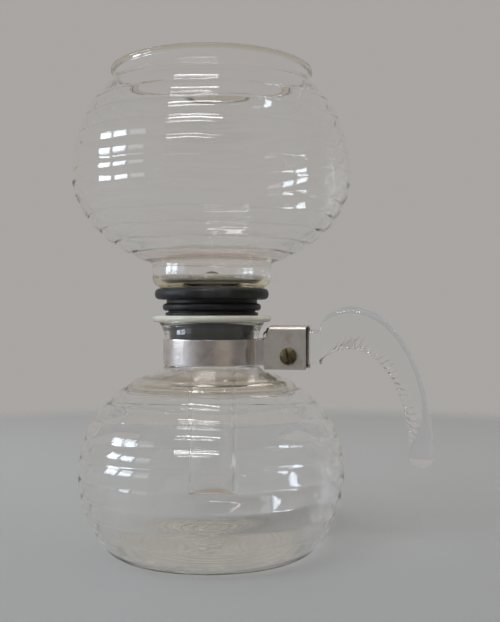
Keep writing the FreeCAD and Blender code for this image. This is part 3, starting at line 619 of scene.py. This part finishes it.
def makeLip(shape):
    lipBottom = lipTop - shape["lipThickness"]
    lipRound = shape["lipThickness"] / 2
    roundMiddle = shape["lipRadius"] - lipRound
    opening = shape["mouthOpening"]
    edge = shape["lipEdge"]
    rows = [(opening + edge, lipBottom, 0.0, 0.0)]
    runTo(rows, roundMiddle, lipBottom, steps=4)
    roundTo(rows, (roundMiddle, lipBottom + lipRound), lipRound, -90, 90, steps=16)
    runTo(rows, opening + edge, lipTop, steps=4)
    sweepTo(rows, (opening, lipTop), opening, lipTop - edge, steps=3)
    runTo(rows, opening, lipBottom + edge, steps=2)
    sweepTo(rows, (opening, lipBottom), opening + edge, lipBottom, steps=3)
    piece = turnPiece("potLip", rows, shape, lipGlass)
    piece.data.materials.append(lipEdgeGlass)
    edgeSlot = len(piece.data.materials) - 1
    for face in piece.data.polygons:
        if math.hypot(face.center.x, face.center.y) > roundMiddle * mm:
            face.material_index = edgeSlot  # only the rounded edge is ground
    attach(piece, "pot")


makePot(potShape)
makeLip(potShape)


# upper bowl with its tube

bowlShape = {
    "bellyRadius": 76.5, "bellyHeight": 62.5, "bellyRise": 75.0, "bellyDrop": 54.0, "wall": 1.6,
    "mouthRadius": 54.6, "collarTurn": 7.0, "collarEnd": 1.0, "collarCorner": 3.2, "insideCorner": 4.0,
    "beadRadius": 1.35, "beadTurn": (-50, 190), "beadGap": 0.05, "rimGap": 0.1,
    "neckRadius": 32.9, "neckSweep": 1.8, "sweepDrop": 0.4, "neckCorner": 6.0, "floorThickness": 2.94,
    "tubeRadius": 13.5, "tubeWall": 2.1, "tubeFillet": 0.6, "tubeMouthRound": 0.8, "tubeSteps": 30,
    "upperRibs": 5, "lowerRibs": 7, "insideStrength": 0.95,
    "segments": 192, "stepsPerRib": 12, "ribFade": 0.5, "ribHeight": 0.8,
    "topBoost": 0.0, "ribWander": 0.8, "unevenness": 0.3, "seed": 11.0,
}


def makeBowl(shape):
    seat = gasketTop
    wall = shape["wall"]
    belly = shape["bellyRadius"]
    middle = seat + shape["bellyHeight"]
    neck = shape["neckRadius"]
    neckInside = neck - wall
    sweep = shape["neckSweep"]
    corner = shape["neckCorner"]
    mouth = shape["mouthRadius"]
    mouthInside = mouth - wall
    floor = seat + shape["floorThickness"]
    tube = shape["tubeRadius"]
    tubeInside = tube - shape["tubeWall"]
    tubeRound = shape["tubeWall"] / 2
    outside = ((belly, middle, shape["bellyDrop"]), (belly, middle, shape["bellyRise"]))
    inside = [(radius - wall, level, half - wall) for radius, level, half in outside]
    mouthAngle = angleWhere(outside[1], mouth)
    mouthLevel = ovalPoint(outside[1], mouthAngle)[1]
    collarEnd = mouthLevel - shape["collarEnd"]
    insideCollarAngle = angleWhere(inside[1], mouthInside) - shape["collarTurn"]
    neckAngle = angleWhere(outside[0], neck + sweep)
    neckLevel = ovalPoint(outside[0], -neckAngle)[1]
    insideNeckAngle = angleWhere(inside[0], neckInside + sweep)
    insideNeckLevel = ovalPoint(inside[0], -insideNeckAngle)[1]
    bead = shape["beadRadius"]
    beadMiddle = (mouthInside + bead + shape["beadGap"], rimLevel - bead - shape["rimGap"])

    rows = []
    roundTo(rows, ((tube + tubeInside) / 2, tubeEndLevel + tubeRound), tubeRound, -180, 0, steps=12)
    runTo(rows, tube, seat - shape["tubeFillet"], shape["tubeSteps"])
    sweepTo(rows, (tube, seat), tube + shape["tubeFillet"], seat, steps=4)
    runTo(rows, neck - corner, seat, steps=5)
    roundTo(rows, (neck - corner, seat + corner), corner, -90, 0, steps=10)
    runTo(rows, neck, neckLevel - sweep * 2, steps=3)
    sweepTo(rows, (neck, neckLevel - shape["sweepDrop"]), neck + sweep, neckLevel)
    bellyUp(rows, outside, -neckAngle, mouthAngle - shape["collarTurn"], shape)
    sweepTo(rows, (mouth, mouthLevel - shape["collarCorner"]), mouth, collarEnd)
    runTo(rows, mouth, beadMiddle[1] - bead, steps=3)
    roundTo(rows, beadMiddle, bead, *shape["beadTurn"], steps=20)
    runTo(rows, mouthInside, collarEnd, steps=3)
    insideCollar = ovalPoint(inside[1], insideCollarAngle)
    sweepTo(rows, (mouthInside, mouthLevel - shape["insideCorner"]), *insideCollar)
    bellyDown(rows, inside, insideCollarAngle, -insideNeckAngle, shape)
    sweepTo(rows, (neckInside, insideNeckLevel - shape["sweepDrop"]), neckInside, insideNeckLevel - sweep * 2)
    cornerInside = corner - wall
    runTo(rows, neckInside, floor + cornerInside, steps=3)
    roundTo(rows, (neckInside - cornerInside, floor + cornerInside), cornerInside, 0, -90)
    mouthRound = shape["tubeMouthRound"]
    runTo(rows, tubeInside + mouthRound, floor, steps=5)
    sweepTo(rows, (tubeInside, floor), tubeInside, floor - mouthRound, steps=4)
    runTo(rows, tubeInside, tubeEndLevel + tubeRound, shape["tubeSteps"])
    piece = turnPiece("bowlVessel", rows, shape, bowlGlass)
    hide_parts("upper_bowl", "siphon_tube")
    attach(piece, "bowl")


makeBowl(bowlShape)


# rubber gasket

gasketShape = {
    "bore": 13.58, "plugEnd": 22.6, "plugWaist": 23.4, "plugTop": 24.3,
    "seatRadius": 25.8, "seatThickness": 1.8, "seatLift": 0.02, "lowerGroove": 24.2, "lowerGap": 0.9,
    "ringRadius": 27.3, "ringThickness": 4.0, "ringFlat": 5, "upperGroove": 25.2, "upperGap": 2.2,
    "flangeRadius": 31.6, "flangeRound": 2.6, "flangeFlat": 8, "edge": 0.6, "bevel": 0.2,
    "grooveRound": 0.4, "boreRound": 0.84, "topGap": 0.15,
    "segments": 144, "ribHeight": 0.0, "ribWander": 0.0, "unevenness": 0.0, "seed": 5.0,
}


def makeGasket(shape):
    edge = shape["edge"]
    bevel = shape["bevel"]
    grooveRound = shape["grooveRound"]
    top = gasketTop - shape["topGap"]  # a film of air keeps the bowl's foot bright
    bottom = lowOf("gasket").z
    seat = shape["seatRadius"]
    seatTop = lipTop + shape["seatThickness"]
    seatBottom = lipTop + shape["seatLift"]
    lowerGroove = shape["lowerGroove"]
    upperGroove = shape["upperGroove"]
    ringBottom = seatTop + shape["lowerGap"]
    ringTop = ringBottom + shape["ringThickness"]
    ringRound = shape["ringThickness"] / 2 - bevel
    ringMiddle = shape["ringRadius"] - ringRound
    flangeBottom = ringTop + shape["upperGap"]
    flangeRound = shape["flangeRound"]
    flangeMiddle = shape["flangeRadius"] - flangeRound
    bore = shape["bore"]

    rows = [(bore + edge, bottom, 0.0, 0.0)]
    runTo(rows, shape["plugEnd"] - edge, bottom, steps=3)
    sweepTo(rows, (shape["plugEnd"], bottom), shape["plugEnd"], bottom + edge, steps=4)
    runTo(rows, shape["plugWaist"], bandTop, steps=4)
    runTo(rows, shape["plugTop"], lipTop - bevel, steps=4)
    runTo(rows, shape["plugTop"], seatBottom)
    runTo(rows, seat - edge, seatBottom)
    sweepTo(rows, (seat, lipTop), seat, lipTop + edge, steps=4)
    sweepTo(rows, (seat, seatTop), seat - edge, seatTop, steps=4)
    runTo(rows, lowerGroove + bevel, seatTop)
    runTo(rows, lowerGroove, seatTop + bevel)
    runTo(rows, lowerGroove, ringBottom - bevel)
    runTo(rows, lowerGroove + bevel, ringBottom)
    roundTo(rows, (ringMiddle, ringBottom + ringRound), ringRound, -90, -shape["ringFlat"], steps=6)
    roundTo(rows, (ringMiddle, ringTop - ringRound), ringRound, shape["ringFlat"], 90, steps=6)
    runTo(rows, upperGroove + grooveRound, ringTop)
    sweepTo(rows, (upperGroove, ringTop), upperGroove, ringTop + grooveRound, steps=3)
    runTo(rows, upperGroove, flangeBottom - grooveRound)
    sweepTo(rows, (upperGroove, flangeBottom), upperGroove + grooveRound, flangeBottom, steps=3)
    roundTo(rows, (flangeMiddle, flangeBottom + flangeRound), flangeRound, -90, -shape["flangeFlat"])
    roundTo(rows, (flangeMiddle, top - flangeRound), flangeRound, shape["flangeFlat"], 90)
    runTo(rows, bore + shape["boreRound"], top, steps=4)
    sweepTo(rows, (bore, top), bore, top - shape["boreRound"], steps=4)
    runTo(rows, bore, bottom + edge, steps=12)
    sweepTo(rows, (bore, bottom), bore + edge, bottom, steps=4)
    piece = turnPiece("gasketRings", rows, shape, gasketRubber)
    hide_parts("gasket")
    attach(piece, "gasket")


makeGasket(gasketShape)


# bent sheet metal: a rounded strip carried along a line of (point, sideways, low edge, high edge)

stripLook = {"edgeShare": 0.7, "support": 0.4, "arcSteps": 3}
drillLook = {"segments": 48, "reach": 40.0, "sharpAngle": 35.0}


def bentStrip(name, stations, across, thickness, finish):
    half = thickness / 2
    edge = half * stripLook["edgeShare"]
    arcSteps = stripLook["arcSteps"]
    work = bmesh.new()
    rings = []
    for point, sideways, low, high in stations:
        section = []
        corners = ((-1, low, 1, 180), (1, low, 1, 270), (1, high, -1, 0), (-1, high, -1, 90))
        for side, border, inwards, fromAngle in corners:
            arc = []
            for step in range(arcSteps + 1):
                out, up = around(math.radians(fromAngle + 90 * step / arcSteps))
                arc.append((side * (half - edge) + edge * out, border + inwards * edge + edge * up))
            beside = (side * half, border + inwards * (edge + stripLook["support"]))
            startsFlat = (side < 0 and inwards > 0) or (side > 0 and inwards < 0)
            section.extend([beside] + arc if startsFlat else arc + [beside])
        rings.append([work.verts.new((point + sideways * out + across * up) * mm) for out, up in section])
    joinRings(work, rings)
    work.faces.new(rings[0])
    work.faces.new(rings[-1])
    mesh = meshFrom(work, name)
    mesh.materials.append(finish)
    mesh.shade_smooth()
    return newObject(name, mesh)


def drillAcross(piece, radius):
    work = bmesh.new()
    bmesh.ops.create_cone(work, cap_ends=True, segments=drillLook["segments"], radius1=radius * mm,
                          radius2=radius * mm, depth=drillLook["reach"] * mm)
    for vert in work.verts:
        vert.co = Vector((screwMiddle.x * mm + vert.co.x, vert.co.z, screwMiddle.z * mm + vert.co.y))
    drill = newObject("drill", meshFrom(work, "drill"))
    cut = piece.modifiers.new("hole", "BOOLEAN")
    cut.object = drill
    cut.solver = "EXACT"
    bakeModifiers(piece)
    bpy.data.objects.remove(drill)
    piece.data.set_sharp_from_angle(angle=math.radians(drillLook["sharpAngle"]))
    sayFaces(piece)


# neck band

bandShape = {"sheet": 0.6, "bend": 2.0, "holeRadius": 2.55, "earSteps": 8, "bendSteps": 8, "halfSteps": 60}


def makeBand(shape):
    earEnd = highOf("neck_band").x
    earSide = highOf("root_liner").y + shape["sheet"] / 2
    ring = -lowOf("neck_band").x - shape["sheet"] / 2
    bend = shape["bend"]
    bendUp = earSide + bend
    bendOut = math.sqrt((ring + bend) ** 2 - bendUp ** 2)
    leaveAngle = math.atan2(bendUp, bendOut)

    line = []
    for share in shares(shape["earSteps"]):
        line.append((between(earEnd, bendOut, share), -earSide, 0.0, -1.0))
    for share in shares(shape["bendSteps"]):
        outX, outY = around(between(math.pi / 2, math.pi - leaveAngle, share))
        line.append((bendOut + bend * outX, -bendUp + bend * outY, -outX, -outY))
    for share in shares(shape["halfSteps"]):
        outX, outY = around(between(-leaveAngle, -math.pi, share))
        line.append((ring * outX, ring * outY, outX, outY))
    backHalf = [(x, -y, outX, -outY) for x, y, outX, outY in reversed(line)]
    line.append((-ring, 0.0, -1.0, 0.0))
    stations = [(Vector((x, y, 0.0)), Vector((outX, outY, 0.0)), bandBottom, bandTop)
                for x, y, outX, outY in line + backHalf]
    piece = bentStrip("neckBand", stations, Vector((0.0, 0.0, 1.0)), shape["sheet"], bandSteel)
    drillAcross(piece, shape["holeRadius"])
    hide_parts("neck_band")
    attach(piece, "pot")


makeBand(bandShape)


# folded handle bracket

bracketShape = {"sheet": 0.9, "bend": 2.5, "slantRun": 3.5, "slantDrop": 8.0, "holeRadius": 2.55,
                "wallSteps": 16, "bendSteps": 8}


def makeBracket(shape):
    low = lowOf("handle_bracket")
    high = highOf("handle_bracket")
    half = shape["sheet"] / 2
    side = high.y - half
    top = high.z - half
    bend = shape["bend"] - half

    line = []
    for share in shares(shape["wallSteps"]):
        line.append((-side, between(low.z, top - bend, share), -1.0, 0.0))
    for step in range(shape["bendSteps"] + 1):
        outY, outZ = around(math.pi - math.pi / 2 * step / shape["bendSteps"])
        line.append((-side + bend + bend * outY, top - bend + bend * outZ, outY, outZ))
    for share in (0.25, 0.5):
        line.append(((side - bend) * (2 * share - 1), top, 0.0, 1.0))
    mirrored = [(-y, z, -outY, outZ) for y, z, outY, outZ in reversed(line[:-1])]
    stations = []
    for y, z, outY, outZ in line + mirrored:
        slant = shape["slantRun"] * max(0.0, 1 - (high.z - z) / shape["slantDrop"])
        stations.append((Vector((0.0, y, z)), Vector((0.0, outY, outZ)), low.x + slant, high.x))
    piece = bentStrip("handleBracket", stations, Vector((1.0, 0.0, 0.0)), shape["sheet"], bracketSteel)
    drillAcross(piece, shape["holeRadius"])
    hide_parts("handle_bracket")
    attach(piece, "pot")


makeBracket(bracketShape)


# glass handle with a notched grip

handleShape = {
    "rootLength": 31.0, "rootHeight": 18.6, "rootWidth": 13.0, "rootSquare": 7.0, "endScale": 0.84,
    "endRound": 2.0, "archReach": 47.5, "archHeight": 12.3, "archDepth": 23.0, "archWidth": 14.5,
    "archSquare": 4.6, "archEase": 1.4, "gripDrop": 66.4, "gripStart": 0.25, "gripGrowth": 2.4,
    "gripEnd": 0.93, "gripFade": 6.0, "gripSpread": 0.45,
    "tipDepth": 12.6, "tipWidth": 10.0, "tipSquare": 3.0, "tipRound": 6.0, "tipBlunt": 3,
    "notchPitch": 3.1, "notchDepth": 0.6, "notchSlant": 1.3, "notchSharpness": 7, "notchDrift": 0.12,
    "driftRate": 1.7, "wornShare": 0.6, "wornRate": 12.9, "sleeveRadius": 3.45,
    "rootSteps": 16, "riseSteps": 80, "fallSteps": 400, "tipSteps": 14, "roundSteps": 112,
}


def limited(value):
    return min(1.0, max(0.0, value))


# each station: outer point, inner point, width, squareness, how far it is notched, scale

def handleStations(shape):
    rootStart = lowOf("handle").x
    rootEnd = rootStart + shape["rootLength"]
    reach = highOf("handle").x
    innerReach = reach - shape["tipDepth"]
    arch = rootStart + shape["archReach"]
    archTop = highOf("handle").z
    archBottom = archTop - shape["archDepth"]
    top = archTop - shape["archHeight"]
    bottom = top - shape["rootHeight"]
    tipLevel = top - shape["gripDrop"]

    stations = []
    for share in shares(shape["rootSteps"]):
        across = between(rootStart, rootEnd, share)
        rounded = math.sqrt(limited(share * shape["rootLength"] / shape["endRound"]))
        scale = between(shape["endScale"], 1.0, rounded)
        sizes = (shape["rootWidth"], shape["rootSquare"], 0.0, scale)
        stations.append(((across, top), (across, bottom), *sizes))
    for share in shares(shape["riseSteps"]):
        out, up = around(math.pi - math.pi / 2 * share)
        across = arch + (arch - rootEnd) * out
        outer = (across, top + shape["archHeight"] * up)
        inner = (across, between(bottom, archBottom, up))
        width = between(shape["rootWidth"], shape["archWidth"], share)
        square = between(shape["rootSquare"], shape["archSquare"], limited(share * shape["archEase"]))
        notched = limited((share - shape["gripStart"]) * shape["gripGrowth"])
        stations.append((outer, inner, width, square, notched, 1.0))
    for share in shares(shape["fallSteps"]):
        out, up = around(math.pi / 2 * (1 - share))
        outer = (between(arch, reach, out), between(tipLevel, archTop, up))
        inner = (between(arch, innerReach, out), between(tipLevel, archBottom, up))
        width = between(shape["archWidth"], shape["tipWidth"], share)
        square = between(shape["archSquare"], shape["tipSquare"], share)
        notched = limited((shape["gripEnd"] - share) * shape["gripFade"])
        stations.append((outer, inner, width, square, notched, 1.0))
    blunt = shape["tipBlunt"]
    for share in shares(shape["tipSteps"]):
        angle = math.pi / 2 * share
        level = tipLevel - shape["tipRound"] * math.sin(angle)
        scale = (1 - math.sin(angle) ** blunt) ** (1 / blunt)  # a blunt, softly rounded tip
        sizes = (shape["tipWidth"], shape["tipSquare"], 0.0, scale)
        stations.append(((reach, level), (innerReach, level), *sizes))
    return stations, Vector((reach - shape["tipDepth"] / 2, 0.0, tipLevel - shape["tipRound"]))


def notchGroove(shape, travelled, turn):
    phase = travelled / shape["notchPitch"] - shape["notchSlant"] * turn
    phase += shape["notchDrift"] * math.sin(travelled * shape["driftRate"])  # cut by hand, never quite even
    groove = (0.5 - 0.5 * math.cos(2 * math.pi * phase)) ** shape["notchSharpness"]
    kept = abs(math.sin(shape["wornRate"] * math.floor(phase)))  # some notches are worn away
    return groove * between(1.0, kept, shape["wornShare"])


def signedPower(value, power):
    return math.copysign(abs(value) ** power, value)


def makeHandle(shape):
    stations, tip = handleStations(shape)
    work = bmesh.new()
    rings = []
    depths = []
    travelled = 0.0
    lastInside = None
    for outer, inner, width, square, notched, scale in stations:
        outside = Vector((outer[0], 0.0, outer[1]))
        inside = Vector((inner[0], 0.0, inner[1]))
        middle = (outside + inside) / 2
        halfDepth = (outside - inside) / 2
        if lastInside is not None:
            travelled += (inside - lastInside).length
        lastInside = inside
        ring = []
        for share in shares(shape["roundSteps"]):
            angle = 2 * math.pi * share
            outwards, sideways = around(angle)
            depthShare = signedPower(outwards, 2 / square) * scale
            widthShare = signedPower(sideways, 2 / square) * scale
            mask = max(0.0, -outwards) ** shape["gripSpread"] * notched
            groove = notchGroove(shape, travelled, abs(angle - math.pi)) * mask
            pressed = 1 - shape["notchDepth"] * groove / halfDepth.length
            place = middle + halfDepth * depthShare * pressed
            place.y = width / 2 * widthShare * pressed
            ring.append(work.verts.new(place * mm))
            depths.append(groove)
        rings.append(ring)
    joinRings(work, rings)
    tipVert = work.verts.new(tip * mm)
    depths.append(0.0)
    lastRing = rings[-1]
    for index in range(len(lastRing)):
        work.faces.new((lastRing[index - 1], lastRing[index], tipVert))
    work.faces.new(rings[0])
    mesh = meshFrom(work, "glassHandle")
    mesh.attributes.new("notchDepth", "FLOAT", "POINT").data.foreach_set("value", depths)
    mesh.materials.append(handleGlass)
    mesh.shade_smooth()
    piece = newObject("glassHandle", mesh)
    drillAcross(piece, shape["sleeveRadius"])
    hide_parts("handle")
    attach(piece, "pot")


makeHandle(handleShape)


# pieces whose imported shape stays

keptFinishes = {
    "filter_rod": filterGlass, "neck_liner": linerRubber, "root_liner": linerRubber,
    "screw_sleeve": linerRubber, "clamp_screw": screwBrass, "clamp_nut": screwBrass,
    "nut_washer": bracketSteel,
}
for name, finish in keptFinishes.items():
    nodes[name].data.materials.clear()
    nodes[name].data.materials.append(finish)
print("kept pieces dressed")


# stage, light and camera

stageLook = {
    "wall": (0.395, 0.380, 0.365), "ambient": (0.57, 0.563, 0.556), "room": (0.17, 0.158, 0.15),
    "window": (0.40, 0.40, 0.41), "door": (0.32, 0.28, 0.23), "wallSide": (-0.21, 0.98, 0.0),
    "windowSide": (-0.93, -0.37, 0.0), "doorSide": (0.68, -0.73, 0.0), "wallFade": (0.0, 0.7),
    "windowFade": (0.4, 1.0), "doorFade": (0.90, 0.99),
}
tableLook = {
    "tone": (0.345, 0.342, 0.337), "nearShadeShare": 0.88, "farLightShare": 1.14, "paintedLightFade": (-0.25, 0.45),
    "rough": 0.55, "shine": 0.2, "halfSize": 1.2, "drop": 0.3, "reach": 0.72, "edgeFade": 0.16,
}


def makeTable(look, wallSide):
    size = look["halfSize"]
    level = -look["drop"] * mm
    corners = ((-size, -size, level), (size, -size, level), (size, size, level), (-size, size, level))
    mesh = bpy.data.meshes.new("tableTop")
    mesh.from_pydata(corners, [], [(0, 1, 2, 3)])
    table = newObject("tableTop", mesh)
    material, tree, shader, place = newMaterial("paleTable")
    # painted light and shade: the table is painted paler towards the wall and darker towards the camera
    paintedLightTowardsWall = fadeBetween(tree, alongSide(tree, place, wallSide), *look["paintedLightFade"])
    nearShadedTone, farLitTone = [[part * look[share] for part in look["tone"]] for share in ("nearShadeShare", "farLightShare")]
    setInputs(tree, shader, {
        "Base Color": mixColours(tree, paintedLightTowardsWall, nearShadedTone, farLitTone), "Roughness": look["rough"],
        "Specular IOR Level": look["shine"],
    })
    distance = addNode(tree, "ShaderNodeVectorMath", {0: place}, operation="LENGTH").outputs["Value"]
    half = look["edgeFade"] / 2
    faded = fadeBetween(tree, distance, look["reach"] - half, look["reach"] + half)
    mix = mixShaders(tree, faded, shader, tree.nodes.new("ShaderNodeBsdfTransparent"))
    tree.links.new(mix.outputs[0], tree.nodes["Material Output"].inputs["Surface"])
    mesh.materials.append(material)


def makeWorld(look):
    world = bpy.data.worlds.new("studio")
    bpy.context.scene.world = world
    world.use_nodes = True
    tree = world.node_tree
    tree.nodes.clear()
    lightPath = tree.nodes.new("ShaderNodeLightPath").outputs
    seen = calc(tree, "MAXIMUM", lightPath["Is Camera Ray"], lightPath["Is Transmission Ray"])
    ambient = addNode(tree, "ShaderNodeBackground", {"Color": look["ambient"]})
    wall = addNode(tree, "ShaderNodeBackground", {"Color": look["wall"]})
    # gloss shows the pale wall behind the object and the dim room in front of it
    direction = tree.nodes.new("ShaderNodeTexCoord").outputs["Generated"]
    colour = look["room"]
    for side in ("window", "door", "wall"):
        facing = fadeBetween(tree, alongSide(tree, direction, look[side + "Side"]), *look[side + "Fade"])
        colour = mixColours(tree, facing, colour, look[side])
    room = addNode(tree, "ShaderNodeBackground", {"Color": colour})
    unseen = mixShaders(tree, lightPath["Is Glossy Ray"], ambient, room)
    mix = mixShaders(tree, seen, unseen, wall)
    addNode(tree, "ShaderNodeOutputWorld", {"Surface": mix.outputs[0]})


cameraLook = {"azimuth": 12.0, "distance": 0.5013, "shift": 0.0212, "height": 0.1312, "tilt": 0.127,
              "focalPixels": 900.0, "longSide": 622.0, "sensor": 36.0, "nearest": 0.01}

# each pane: azimuth from the camera, elevation, width, height, distance, brightness, colour, and its share of
# light for what is seen through glass. The left panes show as highlights but never straight through glass.
# The shadow pane makes up for that; no gloss shows it, and it draws the soft shadow beside the pot.
panes = {
    "topPane": (-17.0, 60.0, 0.90, 0.07, 1.6, 34.0, (0.98, 0.99, 1.0), 1.0),
    "topPaneLow": (-17.0, 43.0, 0.90, 0.04, 1.6, 34.0, (0.98, 0.99, 1.0), 1.0),
    "leftPaneNear": (-74.0, 10.0, 0.28, 0.36, 1.3, 9.5, (0.78, 0.89, 1.0), 0.0),
    "leftPaneFar": (-90.0, 10.0, 0.28, 0.36, 1.3, 9.5, (0.78, 0.89, 1.0), 0.0),
    "leftPaneDim": (-58.0, 10.0, 0.30, 0.36, 1.3, 1.6, (0.80, 0.90, 1.0), 0.0),
    "shadowPane": (-48.0, 48.0, 0.90, 0.90, 2.6, 6.0, (0.82, 0.91, 1.0), 1.55),
}
paneAim = Vector((0.0, 0.0, 0.13))


def directionFrom(azimuth, elevation):
    turn = math.radians(azimuth)
    rise = math.radians(elevation)
    return Vector((math.sin(turn) * math.cos(rise), -math.cos(turn) * math.cos(rise), math.sin(rise)))


def shareBehindGlass(data, share):
    data.use_nodes = True
    tree = data.node_tree
    lightPath = tree.nodes.new("ShaderNodeLightPath").outputs
    # the depths are whole counts: no reflection so far, and two or more crossings of glass
    unreflected = calc(tree, "LESS_THAN", lightPath["Glossy Depth"], 0.5)
    throughGlass = calc(tree, "GREATER_THAN", lightPath["Transmission Depth"], 1.5)
    straight = times(tree, throughGlass, unreflected)
    strength = plus(tree, 1.0, times(tree, straight, share - 1.0))
    tree.links.new(strength, tree.nodes["Emission"].inputs["Strength"])


def makeLights(look):
    for name, (azimuth, elevation, width, height, distance, brightness, colour, share) in panes.items():
        data = bpy.data.lights.new(name, "AREA")
        data.shape = "RECTANGLE"
        data.size = width
        data.size_y = height
        data.energy = brightness * math.pi * width * height
        data.color = colour
        shareBehindGlass(data, share)
        lamp = newObject(name, data)
        towards = directionFrom(look["azimuth"] + azimuth, elevation)
        lamp.location = paneAim + towards * distance
        lamp.rotation_euler = towards.to_track_quat("Z", "Y").to_euler()
        lamp.visible_glossy = name != "shadowPane"
        lamp.visible_transmission = name != "shadowPane"


def makeCamera(look):
    data = bpy.data.cameras.new("camera")
    camera = newObject("camera", data)
    back = directionFrom(look["azimuth"], 0.0)
    right = Vector((-back.y, back.x, 0.0))
    camera.location = back * look["distance"] + right * look["shift"] + Vector((0.0, 0.0, look["height"]))
    aim = directionFrom(look["azimuth"], -look["tilt"])
    camera.rotation_euler = aim.to_track_quat("Z", "Y").to_euler()
    data.sensor_width = look["sensor"]
    data.lens = look["focalPixels"] / look["longSide"] * data.sensor_width
    data.clip_start = look["nearest"]
    bpy.context.scene.camera = camera


makeTable(tableLook, stageLook["wallSide"])
makeWorld(stageLook)
makeLights(cameraLook)
makeCamera(cameraLook)
bpy.context.scene.view_settings.view_transform = "Standard"
bounces = 28  # light crosses many walls of glass
cycles = bpy.context.scene.cycles
cycles.max_bounces = bounces
cycles.transmission_bounces = bounces
cycles.glossy_bounces = bounces
print("stage, light and camera ready")
